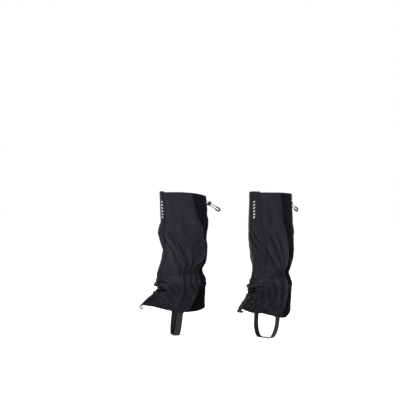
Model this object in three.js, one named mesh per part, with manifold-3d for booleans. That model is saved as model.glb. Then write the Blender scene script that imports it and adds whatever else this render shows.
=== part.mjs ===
// A pair of hiking gaiters, standing as they are worn: the right one a stride ahead of the left.
// Millimetres, +Z up, toes towards -Y, the wearer's left towards +X. The origin is on the ground,
// midway between the two legs. Each gaiter is built in its own leg frame, with X towards the outer
// side of the leg, and the right one is the mirror image of the left.
import * as THREE from 'three';
import * as BufferGeometryUtils from 'three/addons/utils/BufferGeometryUtils.js';
import Module from 'manifold-3d';

const wasm = await Module();
wasm.setup();

const { clamp, degToRad, lerp, smoothstep } = THREE.MathUtils;

// ---- Stance --------------------------------------------------------------------------------
const STRIDE = 229; // from one leg's axis to the other's, heel to toe
const STANCE_WIDTH = 189; // from one leg's axis to the other's, side to side
const TOE_OUT = 15; // degrees that each foot turns outwards

// ---- Heights above the underside of the instep strap ----------------------------------------
const TOP_HEIGHT = 468; // upper edge at the shin
const REAR_DROP = 10; // how much lower the upper edge is at the calf
const ANKLE_HEIGHT = 207; // middle of the ankle elastic
const BOOT_TOP_HEIGHT = 172; // fullest height of the boot panels
const INSTEP_HEIGHT = 145; // where the tongue leaves the shin
const TONGUE_HEIGHT = 103; // toe end of the tongue
const SIDE_HEM_HEIGHT = 70; // lower edge beside the instep strap
const HEEL_HEM_HEIGHT = 90; // lower edge behind the heel
const FLAP_SPLIT_HEIGHT = 320; // the flap peels open above this height
const FRONT_SEAM_HEIGHT = 191; // top of the boot panels at the shin
const REAR_SEAM_HEIGHT = 166; // top of the boot panels at the side and the heel

// ---- Reach from the leg's axis ---------------------------------------------------------------
const CALF_FRONT = 76;
const CALF_BACK = 82;
const CALF_HALF_WIDTH = 62;
const SHIN_HOLLOW_FRONT = 66; // the shin just above the ankle
const ANKLE_FRONT = 79;
const ANKLE_BACK = 64;
const ANKLE_HALF_WIDTH = 46;
const BOOT_FRONT = 88;
const BOOT_BACK = 76;
const BOOT_HALF_WIDTH = 57;
const INSTEP_FRONT = 82;
const TONGUE_FRONT = 134;
const WIDEST_FORWARD = 5; // the widest point lies this far ahead of the axis

// ---- Cloth and its layers ---------------------------------------------------------------------
const SHELL = 1.2; // thickness of the outer panels
const LINER = 1.0; // placket, facings and flap
const TAPE = 0.8; // hook or loop tape
const LAYER_GAP = 0.3; // clearance between layers that lie on each other
const SEAM_GAP = 0.4; // clearance between panels that meet at a seam
const HINGE_GAP = 2; // room beside the flap's sewn edge for it to fold open
const FACING_WIDTH = 11; // turned-in cloth along the lower edge
const CHANNEL_WIDTH = 30; // height of the drawcord channel
const CHANNEL_DEPTH = 4.4; // room inside the drawcord channel
const ELASTIC_WIDTH = 14;
const ELASTIC_THICKNESS = 1.2;

// ---- Seams, as degrees round the leg from the shin, positive towards the outer side -------------
const FLAP_HALF_ANGLE = 22;
const PLACKET_FROM = -16;
const PLACKET_TO = 20;
const TAPE_HALF_ANGLE = 12;
const REAR_SEAM_ANGLE = 120;
const HEEL_SEAM_ANGLE = 135;
const ELASTIC_FROM = 105;

// ---- Drawcord and cord lock ---------------------------------------------------------------------
const CORD = 2.2; // diameter
const CORD_CLEARANCE = 0.4; // round the cord in each hole
const CORD_SLOPE = 32; // degrees that the loop falls
const STRAND_OFFSET = 3.3; // each strand from the middle of the loop, inside the lock
const LOCK_FROM_SHELL = 13.5; // middle of the lock, measured along the cord
const LOCK_WALL = 1.5;
const LOCK_TRAVEL = 1.4; // stroke of the plunger
const LOCK_FIT = 0.3; // plunger in its bore
const LOCK_HEAD = 2.4;
const PLUNGER_HALF_HEIGHT = 5.4;
const PLUNGER_HALF_DEPTH = 2.4;
const SPRING_LENGTH = 4.4;
const SPRING_WIRE = 0.5;
const SPRING_RADIUS = 1.9;
const SPRING_TURNS = 3;
const PULL_DIAMETER = 5.6;

// The loop's route, out from the hem to its tip and back: distance along the slope from the calf's
// surface, then distance from the middle of the loop.
const LOOP_ROUTE = [
  [-3.2, 3.3],
  [4, 3.3],
  [12, 3.3],
  [20, 3.3],
  [28, 3.3],
  [34, 3.4],
  [40, 3.9],
  [46, 4.5],
  [51, 4.7],
  [54, 3.7],
  [55.7, 1.5],
  [56.1, 0],
  [55.7, -1.5],
  [54, -3.7],
  [51, -4.7],
  [46, -4.5],
  [40, -3.9],
  [34, -3.4],
  [28, -3.3],
  [20, -3.3],
  [12, -3.3],
  [4, -3.3],
  [-0.6, -3.3],
];
const PULL_FROM = 40; // the pull covers the loop from here to its tip

// ---- Instep strap, its buckle and its tab -------------------------------------------------------
const STRAP_WIDTH = 20;
const STRAP = 1.4; // thickness
const STRAP_FORWARD = 18; // middle of the strap at the hem, ahead of the leg's axis
const STRAP_LEAN = 8; // how much further forward it is under the boot
const STRAP_FLAT_HALF = 22; // flat run under the boot's arch
const STRAP_ARC_HEIGHT = 60; // where the strap has turned upright
const STRAP_END_HEIGHT = 97; // sewn end on the inner side
const STRAP_TAIL_HEIGHT = 70; // loose tail end on the outer side
const BUCKLE = 3; // thickness
const BUCKLE_RAIL = 2.8;
const BUCKLE_BAR = 3;
const BUCKLE_SLOT = 5;
const BUCKLE_HEIGHT_FROM = 82; // underside of the lowest bar
const BUCKLE_FIT = 0.4; // webbing in the buckle
const TAB = 1.2; // thickness of the tab webbing
const TAB_TOP = 128;
const PATCH_HEIGHT = 24;
const PATCH_MARGIN = 3;

// ---- Lace hook --------------------------------------------------------------------------------
const HOOK_WIDTH = 18;
const HOOK = 1.6; // thickness of the metal strip
const HOOK_TAB_WIDTH = 14;
const HOOK_TAB_LENGTH_ROWS = 3; // rows of the surface that the tab is sewn to
const HOOK_REACH = 7; // bar of the hook ahead of the tongue
const HOOK_BAR = 2.4;
const HOOK_LOOP_RADIUS = 2.3; // tab round the bar

// ---- Shape of the leg surface -------------------------------------------------------------------
const calfHeight = (share) => lerp(ANKLE_HEIGHT, TOP_HEIGHT, share);

const FRONT_LINE = [
  [TONGUE_HEIGHT, TONGUE_FRONT],
  [INSTEP_HEIGHT, INSTEP_FRONT],
  [BOOT_TOP_HEIGHT, BOOT_FRONT],
  [ANKLE_HEIGHT, ANKLE_FRONT],
  [calfHeight(0.26), SHIN_HOLLOW_FRONT],
  [calfHeight(0.48), CALF_FRONT + 1],
  [TOP_HEIGHT, CALF_FRONT],
];
const BACK_LINE = [
  [BOOT_TOP_HEIGHT, BOOT_BACK],
  [ANKLE_HEIGHT, ANKLE_BACK],
  [calfHeight(0.24), CALF_BACK],
  [calfHeight(0.75), CALF_BACK],
  [TOP_HEIGHT, CALF_BACK - 5],
];
const SIDE_LINE = [
  [SIDE_HEM_HEIGHT, BOOT_HALF_WIDTH - 5],
  [INSTEP_HEIGHT, BOOT_HALF_WIDTH],
  [BOOT_TOP_HEIGHT, BOOT_HALF_WIDTH],
  [ANKLE_HEIGHT, ANKLE_HALF_WIDTH],
  [calfHeight(0.2), CALF_HALF_WIDTH],
  [calfHeight(0.5), CALF_HALF_WIDTH + 2],
  [TOP_HEIGHT, CALF_HALF_WIDTH - 2],
];
const HEM_LINE = [
  [0, TONGUE_HEIGHT],
  [47, TONGUE_HEIGHT - 6],
  [76, SIDE_HEM_HEIGHT + 6],
  [92, SIDE_HEM_HEIGHT],
  [125, SIDE_HEM_HEIGHT],
  [180, HEEL_HEM_HEIGHT],
];
const LINE_BLUR = 6; // rounds the corners of the lines above

function onLine(line, at) {
  if (at <= line[0][0]) {
    return line[0][1];
  }
  const end = line.findIndex(([place]) => place >= at);
  if (end < 0) {
    return line[line.length - 1][1];
  }
  const [fromPlace, fromValue] = line[end - 1];
  const [toPlace, toValue] = line[end];
  return lerp(fromValue, toValue, (at - fromPlace) / (toPlace - fromPlace));
}

function onSmoothLine(line, at) {
  const shifts = [-LINE_BLUR, -LINE_BLUR / 2, 0, LINE_BLUR / 2, LINE_BLUR];
  const sum = shifts.reduce((total, shift) => total + onLine(line, at + shift), 0);
  return sum / shifts.length;
}

const halfWidthAt = (height) => onSmoothLine(SIDE_LINE, height);

function skinPoint(angle, height) {
  const turn = degToRad(angle);
  const ahead = Math.cos(turn) > 0;
  const front = onSmoothLine(FRONT_LINE, height) - WIDEST_FORWARD;
  const back = onSmoothLine(BACK_LINE, height) + WIDEST_FORWARD;
  const forward = WIDEST_FORWARD + Math.cos(turn) * (ahead ? front : back);
  return new THREE.Vector3(halfWidthAt(height) * Math.sin(turn), -forward, height);
}

function skinNormal(angle, height) {
  const step = 1.5;
  const round = skinPoint(angle + step, height).sub(skinPoint(angle - step, height));
  const up = skinPoint(angle, height + step).sub(skinPoint(angle, height - step));
  return round.cross(up).normalize();
}

function offSkin(angle, height, offset) {
  return skinPoint(angle, height).addScaledVector(skinNormal(angle, height), offset);
}

// ---- Rows: named levels that every layer shares, so that layers stay parallel ---------------------
const lowerEdge = (angle) => onSmoothLine(HEM_LINE, Math.abs(angle));
const upperEdge = (angle) => TOP_HEIGHT - REAR_DROP * smoothstep(Math.abs(angle), 100, 180);
const bootSeam = (angle) =>
  lerp(FRONT_SEAM_HEIGHT, REAR_SEAM_HEIGHT, smoothstep(Math.abs(angle), 20, 80));

const LEVELS = [
  { name: 'lower_edge', height: lowerEdge, rows: 1 },
  { name: 'facing_top', height: (angle) => lowerEdge(angle) + FACING_WIDTH, rows: 3 },
  { name: 'boot_seam', height: bootSeam, rows: 1 },
  { name: 'elastic_foot', height: () => ANKLE_HEIGHT - ELASTIC_WIDTH / 2, rows: 1 },
  { name: 'elastic_top', height: () => ANKLE_HEIGHT + ELASTIC_WIDTH / 2, rows: 3 },
  { name: 'flap_split', height: () => FLAP_SPLIT_HEIGHT, rows: 2 },
  { name: 'channel_foot', height: (angle) => upperEdge(angle) - CHANNEL_WIDTH, rows: 3 },
  { name: 'upper_edge', height: upperEdge, rows: 0 },
];

function rowsBetween(low, high) {
  const first = LEVELS.findIndex(({ name }) => name === low);
  const last = LEVELS.findIndex(({ name }) => name === high);
  const rows = [];
  for (let level = first; level < last; level++) {
    const { height, rows: count } = LEVELS[level];
    const next = LEVELS[level + 1].height;
    for (let row = 0; row < count; row++) {
      rows.push((angle) => lerp(height(angle), next(angle), row / count));
    }
  }
  rows.push(LEVELS[last].height);
  return rows;
}

// A panel that ends at a seam stops half a seam gap short of it.
function trimRows(rows, atFoot, atTop) {
  const last = rows.length - 1;
  return rows.map((row, index) => {
    const foot = index === 0 && atFoot ? SEAM_GAP / 2 : 0;
    const top = index === last && atTop ? SEAM_GAP / 2 : 0;
    return (angle) => row(angle) + foot - top;
  });
}

// Columns: angles that every layer shares, among them each seam and each end of a layer.
const FRONT_ANGLES = [-18, -12, -6, 0, 6, 12, 18];
const SEAM_ANGLES = [REAR_SEAM_ANGLE, HEEL_SEAM_ANGLE, ELASTIC_FROM];
const COLUMN_STEP = 15;
const NARROWEST_COLUMN = 0.5;

function gridAngles() {
  const angles = [...FRONT_ANGLES];
  for (let angle = 2 * COLUMN_STEP; angle <= 360 - 2 * COLUMN_STEP; angle += COLUMN_STEP) {
    angles.push(angle, angle - 360);
  }
  for (const seam of SEAM_ANGLES) {
    angles.push(seam, 360 - seam, -seam, seam - 360);
  }
  return [...new Set(angles)].sort((a, b) => a - b);
}

function columnsBetween(from, to) {
  const inside = gridAngles().filter(
    (angle) => angle > from + NARROWEST_COLUMN && angle < to - NARROWEST_COLUMN,
  );
  return [from, ...inside, to];
}

// Angles past 180 degrees mean the same place on the other side.
const wrap = (angle) => (angle > 180 ? angle - 360 : angle);

// ---- Solids ----------------------------------------------------------------------------------
// A closed sheet between two grids of points: outer(i, j) and inner(i, j).
function slab(columns, rows, outer, inner) {
  const positions = [];
  const index = [];
  for (const place of [outer, inner]) {
    for (let i = 0; i < columns; i++) {
      for (let j = 0; j < rows; j++) {
        positions.push(...place(i, j).toArray());
      }
    }
  }
  const at = (side, i, j) => side * columns * rows + i * rows + j;
  const quad = (a, b, c, d) => index.push(a, b, c, a, c, d);
  for (let i = 0; i < columns - 1; i++) {
    for (let j = 0; j < rows - 1; j++) {
      quad(at(0, i, j), at(0, i + 1, j), at(0, i + 1, j + 1), at(0, i, j + 1));
      index.push(at(1, i, j), at(1, i + 1, j + 1), at(1, i + 1, j));
      index.push(at(1, i, j), at(1, i, j + 1), at(1, i + 1, j + 1));
    }
  }
  for (let i = 0; i < columns - 1; i++) {
    const top = rows - 1;
    quad(at(1, i, 0), at(1, i + 1, 0), at(0, i + 1, 0), at(0, i, 0));
    quad(at(0, i, top), at(0, i + 1, top), at(1, i + 1, top), at(1, i, top));
  }
  for (let j = 0; j < rows - 1; j++) {
    const end = columns - 1;
    quad(at(0, 0, j), at(0, 0, j + 1), at(1, 0, j + 1), at(1, 0, j));
    quad(at(0, end, j), at(1, end, j), at(1, end, j + 1), at(0, end, j + 1));
  }
  const geometry = new THREE.BufferGeometry();
  geometry.setAttribute('position', new THREE.Float32BufferAttribute(positions, 3));
  geometry.setIndex(index);
  return geometry;
}

// A layer of cloth on the leg surface. inside is the offset of its inner face, or a function
// of the angle and of the share of the layer's height.
function layer({ from, to, rows, inside, thickness }) {
  const columns = columnsBetween(from, to);
  const insideAt = typeof inside === 'function' ? inside : () => inside;
  const place = (extra) => (i, j) => {
    const angle = wrap(columns[i]);
    const base = insideAt(angle, j / (rows.length - 1));
    return offSkin(angle, rows[j](angle), base + extra);
  };
  return slab(columns.length, rows.length, place(thickness), place(0));
}

// A ribbon that follows a line of points in the plane of two axes, wide along a third.
function ribbon({ path, width, thickness, toPoint }) {
  const normals = path.map((_, index) => {
    const before = path[Math.max(index - 1, 0)];
    const after = path[Math.min(index + 1, path.length - 1)];
    const along = after.clone().sub(before).normalize();
    return new THREE.Vector2(-along.y, along.x);
  });
  const place = (side) => (i, j) => {
    const flat = path[i].clone().addScaledVector(normals[i], (side * thickness) / 2);
    return toPoint(flat, (j - 0.5) * width);
  };
  return slab(path.length, 2, place(1), place(-1));
}

function arcPoints(centre, radius, fromDegrees, toDegrees, steps) {
  return Array.from({ length: steps + 1 }, (_, step) => {
    const turn = degToRad(lerp(fromDegrees, toDegrees, step / steps));
    return new THREE.Vector2(
      centre.x + radius * Math.cos(turn),
      centre.y + radius * Math.sin(turn),
    );
  });
}

function toManifold(geometry) {
  const bare = geometry.clone();
  bare.deleteAttribute('normal');
  bare.deleteAttribute('uv');
  const merged = BufferGeometryUtils.mergeVertices(bare, 1e-4);
  const vertProperties = new Float32Array(merged.attributes.position.array);
  const triVerts = new Uint32Array(merged.index.array);
  return new wasm.Manifold(new wasm.Mesh({ numProp: 3, vertProperties, triVerts }));
}

function fromManifold(solid) {
  const { vertProperties, triVerts } = solid.getMesh();
  const geometry = new THREE.BufferGeometry();
  geometry.setAttribute('position', new THREE.Float32BufferAttribute(vertProperties, 3));
  geometry.setIndex(Array.from(triVerts));
  return geometry;
}

function cut(geometry, tools) {
  const solid = tools.reduce((body, tool) => body.subtract(toManifold(tool)), toManifold(geometry));
  return fromManifold(solid);
}

const box = (width, depth, height, x, y, z) =>
  new THREE.BoxGeometry(width, depth, height).translate(x, y, z);

function roundedRectangle(width, height, radius) {
  const shape = new THREE.Shape();
  const [x, y] = [width / 2, height / 2];
  shape.moveTo(x - radius, -y);
  shape.absarc(x - radius, -y + radius, radius, -Math.PI / 2, 0, false);
  shape.absarc(x - radius, y - radius, radius, 0, Math.PI / 2, false);
  shape.absarc(-x + radius, y - radius, radius, Math.PI / 2, Math.PI, false);
  shape.absarc(-x + radius, -y + radius, radius, Math.PI, 1.5 * Math.PI, false);
  return shape;
}

function extrudeBlock(shape, depth, bevel) {
  return new THREE.ExtrudeGeometry(shape, {
    depth: depth - 2 * bevel,
    bevelEnabled: bevel > 0,
    bevelThickness: bevel,
    bevelSize: bevel,
    bevelOffset: -bevel,
    bevelSegments: 1,
    curveSegments: 3,
  }).translate(0, 0, bevel);
}

function circle(radius, sides) {
  return new THREE.Shape(
    Array.from({ length: sides }, (_, side) => {
      const turn = (2 * Math.PI * (side + 0.5)) / sides;
      return new THREE.Vector2(radius * Math.cos(turn), radius * Math.sin(turn));
    }),
  );
}

const tube = (shape, curve, steps) =>
  new THREE.ExtrudeGeometry(shape, { steps, extrudePath: curve, curveSegments: 1 });

// ---- Materials -------------------------------------------------------------------------------
const NYLON = { color: 0x2b2a31, roughness: 0.75, metalness: 0 };
const DARK_NYLON = { color: 0x1d1c22, roughness: 0.8, metalness: 0 };
const WEBBING = { color: 0x1a1a1e, roughness: 0.85, metalness: 0 };
const CORDING = { color: 0x141417, roughness: 0.7, metalness: 0 };
const MOULDED = { color: 0x121214, roughness: 0.45, metalness: 0 };
const BLACK_METAL = { color: 0x151517, roughness: 0.35, metalness: 0.6 };
const STEEL = { color: 0x9a9a9e, roughness: 0.3, metalness: 1 };

// ---- Cloth panels -----------------------------------------------------------------------------
const TAPE_IN = SHELL + LAYER_GAP;
const LOOP_IN = TAPE_IN + TAPE + LAYER_GAP;
const FLAP_IN = LOOP_IN + TAPE + LAYER_GAP;
const FLAP_OUT = FLAP_IN + LINER;

// The angle that a gap takes at the calf's radius.
const gapAngle = (gap) => THREE.MathUtils.radToDeg(gap / CALF_HALF_WIDTH);
const HALF_GAP_ANGLE = gapAngle(SEAM_GAP) / 2;

// The flap lies on the tapes, and comes down to the shell where it is sewn on.
function flapInside(angle) {
  return lerp(0, FLAP_IN, smoothstep(angle, -FLAP_HALF_ANGLE, PLACKET_FROM + 1));
}

function facingInside(depth) {
  return (_, share) => -LAYER_GAP - LINER - depth * Math.sin(Math.PI * clamp(share, 0, 1));
}

// The panels start beside the placket on the outer side, and beside the flap on the inner side.
const PANEL_FROM = PLACKET_TO + HALF_GAP_ANGLE;
const PANEL_TO = 360 - FLAP_HALF_ANGLE - gapAngle(HINGE_GAP);

function clothPanels() {
  const calfRows = trimRows(rowsBetween('boot_seam', 'upper_edge'), true, false);
  const bootRows = trimRows(rowsBetween('lower_edge', 'boot_seam'), false, true);
  const shell = (from, to, rows) =>
    layer({ from, to, rows, inside: 0, thickness: SHELL });
  return {
    calf_panel_outer: shell(PANEL_FROM, REAR_SEAM_ANGLE - HALF_GAP_ANGLE, calfRows),
    calf_panel_inner: shell(360 - REAR_SEAM_ANGLE + HALF_GAP_ANGLE, PANEL_TO, calfRows),
    boot_panel_outer: shell(PANEL_FROM, HEEL_SEAM_ANGLE - HALF_GAP_ANGLE, bootRows),
    boot_panel_inner: shell(360 - HEEL_SEAM_ANGLE + HALF_GAP_ANGLE, PANEL_TO, bootRows),
    heel_panel: shell(
      HEEL_SEAM_ANGLE + HALF_GAP_ANGLE,
      360 - HEEL_SEAM_ANGLE - HALF_GAP_ANGLE,
      bootRows,
    ),
    front_placket: shell(
      PLACKET_FROM,
      PLACKET_TO - HALF_GAP_ANGLE,
      rowsBetween('lower_edge', 'upper_edge'),
    ),
  };
}

function calfRearPanel() {
  const panel = layer({
    from: REAR_SEAM_ANGLE + HALF_GAP_ANGLE,
    to: 360 - REAR_SEAM_ANGLE - HALF_GAP_ANGLE,
    rows: trimRows(rowsBetween('boot_seam', 'upper_edge'), true, false),
    inside: 0,
    thickness: SHELL,
  });
  const radius = CORD / 2 + CORD_CLEARANCE;
  const holes = [STRAND_OFFSET, -STRAND_OFFSET].map((across) => {
    const hole = new THREE.CylinderGeometry(radius, radius, 12, 8);
    return placeOnLoop(hole, 0, across);
  });
  return cut(panel, holes);
}

function flapAndTapes() {
  const lower = trimRows(rowsBetween('lower_edge', 'flap_split'), false, true);
  const upper = trimRows(rowsBetween('flap_split', 'upper_edge'), true, false);
  const tapeLow = trimRows(rowsBetween('facing_top', 'flap_split'), false, true);
  const tapeHigh = trimRows(rowsBetween('flap_split', 'channel_foot'), true, false);
  const flap = (rows) =>
    layer({
      from: -FLAP_HALF_ANGLE,
      to: FLAP_HALF_ANGLE,
      rows,
      inside: flapInside,
      thickness: LINER,
    });
  const tape = (rows, inside) =>
    layer({ from: -TAPE_HALF_ANGLE, to: TAPE_HALF_ANGLE, rows, inside, thickness: TAPE });
  return {
    flap_lower: flap(lower),
    flap_upper: flap(upper),
    hook_tape: tape(rowsBetween('facing_top', 'channel_foot'), TAPE_IN),
    loop_tape_lower: tape(tapeLow, LOOP_IN),
    loop_tape_upper: tape(tapeHigh, LOOP_IN),
  };
}

function innerLayers() {
  return {
    top_hem_facing: layer({
      from: PANEL_FROM,
      to: PANEL_TO,
      rows: rowsBetween('channel_foot', 'upper_edge'),
      inside: facingInside(CHANNEL_DEPTH),
      thickness: LINER,
    }),
    lower_hem_facing: layer({
      from: PANEL_FROM,
      to: PANEL_TO,
      rows: rowsBetween('lower_edge', 'facing_top'),
      inside: -LAYER_GAP - LINER,
      thickness: LINER,
    }),
    ankle_elastic: layer({
      from: ELASTIC_FROM,
      to: 360 - ELASTIC_FROM,
      rows: rowsBetween('elastic_foot', 'elastic_top'),
      inside: -LAYER_GAP - ELASTIC_THICKNESS,
      thickness: ELASTIC_THICKNESS,
    }),
  };
}

// ---- Drawcord ----------------------------------------------------------------------------------
const LOOP_HEIGHT = TOP_HEIGHT - REAR_DROP - CHANNEL_WIDTH / 2;
const loopStart = skinPoint(180, LOOP_HEIGHT);
const slope = degToRad(CORD_SLOPE);
const loopAlong = new THREE.Vector3(0, Math.cos(slope), -Math.sin(slope));
const loopAcross = new THREE.Vector3(0, Math.sin(slope), Math.cos(slope));

function onLoop(along, across) {
  return loopStart.clone().addScaledVector(loopAlong, along).addScaledVector(loopAcross, across);
}

// Moves a geometry drawn round the origin to a place on the loop, its Y axis along the cord and
// its Z axis across the loop.
function placeOnLoop(geometry, along, across) {
  const centre = onLoop(along, across);
  return geometry.rotateX(-slope).translate(centre.x, centre.y, centre.z);
}

// One end of the cord runs round the leg inside the channel, and meets the loop at the calf.
function cordInChannel(side) {
  const [along, across] = side > 0 ? LOOP_ROUTE[0] : LOOP_ROUTE[LOOP_ROUTE.length - 1];
  const meeting = onLoop(along, across).z - LOOP_HEIGHT;
  const clearOfLoop = CORD / 2 + CORD_CLEARANCE + LAYER_GAP;
  const first = FLAP_HALF_ANGLE + 4;
  const last = 180 - THREE.MathUtils.radToDeg(clearOfLoop / (CALF_HALF_WIDTH - 2));
  const steps = 18;
  const points = Array.from({ length: steps + 1 }, (_, step) => {
    const angle = lerp(first, last, step / steps);
    const shift = meeting * smoothstep(angle, 150, last);
    const height = upperEdge(angle) - CHANNEL_WIDTH / 2 + shift;
    return offSkin(side * angle, height, -2 * LAYER_GAP - CORD / 2);
  });
  return tube(circle(CORD / 2, 8), new THREE.CatmullRomCurve3(points), 16);
}

function drawcordParts() {
  const covered = LOOP_ROUTE.filter(([along]) => along >= PULL_FROM);
  const curve = (route) =>
    new THREE.CatmullRomCurve3(route.map(([along, across]) => onLoop(along, across)));
  const sleeve = circle(PULL_DIAMETER / 2, 8);
  sleeve.holes.push(circle(CORD / 2 + CORD_CLEARANCE, 8));
  return {
    drawcord_loop: tube(circle(CORD / 2, 8), curve(LOOP_ROUTE), 34),
    cord_pull: tube(sleeve, curve(covered), 10),
    drawcord_in_hem_outer: cordInChannel(1),
    drawcord_in_hem_inner: cordInChannel(-1),
  };
}

// ---- Cord lock: drawn with the cord along Y, the plunger along X and the strands apart in Z -------
const PLUNGER_END = -CORD / 2 - CORD_CLEARANCE - LOCK_WALL;
const BODY_MOUTH = CORD / 2 + CORD_CLEARANCE + LOCK_WALL + 1.2;
const BORE_FLOOR = PLUNGER_END - SPRING_LENGTH - 2 * LAYER_GAP;
const HEAD_FROM = BODY_MOUTH + LOCK_TRAVEL + LOCK_FIT;

// A block along X with rounded corners.
function blockAlongX(halfDepth, halfHeight, from, to, bevel) {
  const outline = roundedRectangle(2 * halfHeight, 2 * halfDepth, halfDepth * 0.6);
  return extrudeBlock(outline, to - from, bevel).rotateY(Math.PI / 2).translate(from, 0, 0);
}

function lockBody() {
  const outer = LOCK_WALL + LOCK_FIT;
  const body = blockAlongX(
    PLUNGER_HALF_DEPTH + outer,
    PLUNGER_HALF_HEIGHT + outer,
    BORE_FLOOR - LOCK_WALL,
    BODY_MOUTH,
    0.6,
  );
  const bore = box(
    BODY_MOUTH - BORE_FLOOR + 1,
    2 * (PLUNGER_HALF_DEPTH + LOCK_FIT),
    2 * (PLUNGER_HALF_HEIGHT + LOCK_FIT),
    (BODY_MOUTH + BORE_FLOOR + 1) / 2,
    0,
    0,
  );
  const radius = CORD / 2 + CORD_CLEARANCE;
  const cordHoles = [STRAND_OFFSET, -STRAND_OFFSET].map((across) =>
    new THREE.CylinderGeometry(radius, radius, 20, 8).translate(0, 0, across),
  );
  return cut(body, [bore, ...cordHoles]);
}

function lockPlunger() {
  const stem = box(
    HEAD_FROM + 1 - PLUNGER_END,
    2 * PLUNGER_HALF_DEPTH,
    2 * PLUNGER_HALF_HEIGHT,
    (HEAD_FROM + 1 + PLUNGER_END) / 2,
    0,
    0,
  );
  const head = blockAlongX(
    PLUNGER_HALF_DEPTH + LOCK_WALL,
    PLUNGER_HALF_HEIGHT + LOCK_WALL,
    HEAD_FROM,
    HEAD_FROM + LOCK_HEAD,
    0.5,
  );
  const radius = CORD / 2 + CORD_CLEARANCE;
  const slots = [STRAND_OFFSET, -STRAND_OFFSET].map((across) =>
    box(2 * radius + LOCK_TRAVEL, 20, 2 * radius, LOCK_TRAVEL / 2, 0, across),
  );
  const whole = fromManifold(toManifold(stem).add(toManifold(head)));
  return cut(whole, slots);
}

function lockSpring() {
  const steps = SPRING_TURNS * 8;
  const points = Array.from({ length: steps + 1 }, (_, step) => {
    const turn = (2 * Math.PI * SPRING_TURNS * step) / steps;
    const along = SPRING_WIRE / 2 + ((SPRING_LENGTH - SPRING_WIRE) * step) / steps;
    return new THREE.Vector3(
      BORE_FLOOR + LAYER_GAP + along,
      SPRING_RADIUS * Math.cos(turn),
      SPRING_RADIUS * Math.sin(turn),
    );
  });
  return tube(circle(SPRING_WIRE / 2, 5), new THREE.CatmullRomCurve3(points), steps);
}

// ---- Instep strap --------------------------------------------------------------------------------
// The strap, its buckle and its tab are drawn in the XZ plane, wide along Y.
// The flat webbing meets the rounded wall at its front edge.
function wallBesideStrap(height) {
  const reach = onSmoothLine(FRONT_LINE, height) - WIDEST_FORWARD;
  const ahead = (STRAP_FORWARD + STRAP_WIDTH / 2 - WIDEST_FORWARD) / reach;
  return halfWidthAt(height) * Math.sqrt(1 - ahead * ahead) - LAYER_GAP;
}

const STRAP_OUT = wallBesideStrap(SIDE_HEM_HEIGHT) - 2 * LAYER_GAP - LINER - STRAP / 2;
const BUCKLE_MID = STRAP_OUT - STRAP / 2 - BUCKLE_FIT - BUCKLE / 2;
const TAIL_MID = BUCKLE_MID - BUCKLE / 2 - BUCKLE_FIT - STRAP / 2;
const TURN_RADIUS = (STRAP_OUT - TAIL_MID) / 2;
const barFoot = (bar) => BUCKLE_HEIGHT_FROM + bar * (BUCKLE_BAR + BUCKLE_SLOT);

function strapForward(height) {
  const share = clamp(1 - height / SIDE_HEM_HEIGHT, 0, 1);
  return STRAP_FORWARD + STRAP_LEAN * share;
}

const strapPoint = (flat, across) =>
  new THREE.Vector3(flat.x, across - strapForward(flat.y), flat.y);

function instepStrap() {
  const reach = STRAP_OUT - STRAP_FLAT_HALF;
  const rise = STRAP_ARC_HEIGHT - STRAP / 2;
  const quarter = Array.from({ length: 9 }, (_, step) => {
    const turn = ((Math.PI / 2) * step) / 8;
    return new THREE.Vector2(
      STRAP_FLAT_HALF + reach * Math.sin(turn),
      STRAP / 2 + rise * (1 - Math.cos(turn)),
    );
  });
  const mirrored = quarter.map(({ x, y }) => new THREE.Vector2(-x, y)).reverse();
  const turnHeight = barFoot(1) + BUCKLE_BAR + LAYER_GAP;
  const turn = arcPoints(
    new THREE.Vector2(BUCKLE_MID, turnHeight),
    TURN_RADIUS,
    0,
    180,
    6,
  );
  const path = [
    new THREE.Vector2(-STRAP_OUT, STRAP_END_HEIGHT),
    ...mirrored,
    ...quarter,
    ...turn,
    new THREE.Vector2(TAIL_MID, STRAP_TAIL_HEIGHT),
  ];
  return ribbon({ path, width: STRAP_WIDTH, thickness: STRAP, toPoint: strapPoint });
}

function ladderLock() {
  const width = STRAP_WIDTH + 2 * (BUCKLE_FIT + BUCKLE_RAIL);
  const height = barFoot(3) + BUCKLE_BAR - BUCKLE_HEIGHT_FROM;
  const frame = roundedRectangle(width, height, 2);
  for (let slot = 0; slot < 3; slot++) {
    const hole = roundedRectangle(STRAP_WIDTH + 2 * BUCKLE_FIT, BUCKLE_SLOT, 0.8);
    const middle = barFoot(slot) + BUCKLE_BAR + BUCKLE_SLOT / 2;
    const shift = middle - BUCKLE_HEIGHT_FROM - height / 2;
    const points = hole.getPoints(2).map(({ x, y }) => new THREE.Vector2(x, y + shift));
    frame.holes.push(new THREE.Path(points));
  }
  return extrudeBlock(frame, BUCKLE, 0)
    .rotateX(Math.PI / 2)
    .rotateZ(Math.PI / 2)
    .translate(BUCKLE_MID - BUCKLE / 2, -STRAP_FORWARD, BUCKLE_HEIGHT_FROM + height / 2);
}

function strapTab() {
  const barMiddle = new THREE.Vector2(BUCKLE_MID, barFoot(3));
  const radius = BUCKLE / 2 + BUCKLE_FIT + TAB / 2;
  const turn = arcPoints(barMiddle, radius, 0, -180, 6);
  const outside = wallBesideStrap(TAB_TOP) - LAYER_GAP - TAB / 2;
  const inside = outside - TAB - LAYER_GAP;
  const path = [
    new THREE.Vector2(outside, TAB_TOP),
    new THREE.Vector2(outside, TAB_TOP - 8),
    new THREE.Vector2(barMiddle.x + radius, barMiddle.y + BUCKLE_BAR + 2),
    ...turn,
    new THREE.Vector2(barMiddle.x - radius, barMiddle.y + BUCKLE_BAR + 2),
    new THREE.Vector2(inside, TAB_TOP - 8),
    new THREE.Vector2(inside, TAB_TOP),
  ];
  return ribbon({ path, width: STRAP_WIDTH, thickness: TAB, toPoint: strapPoint });
}

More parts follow.
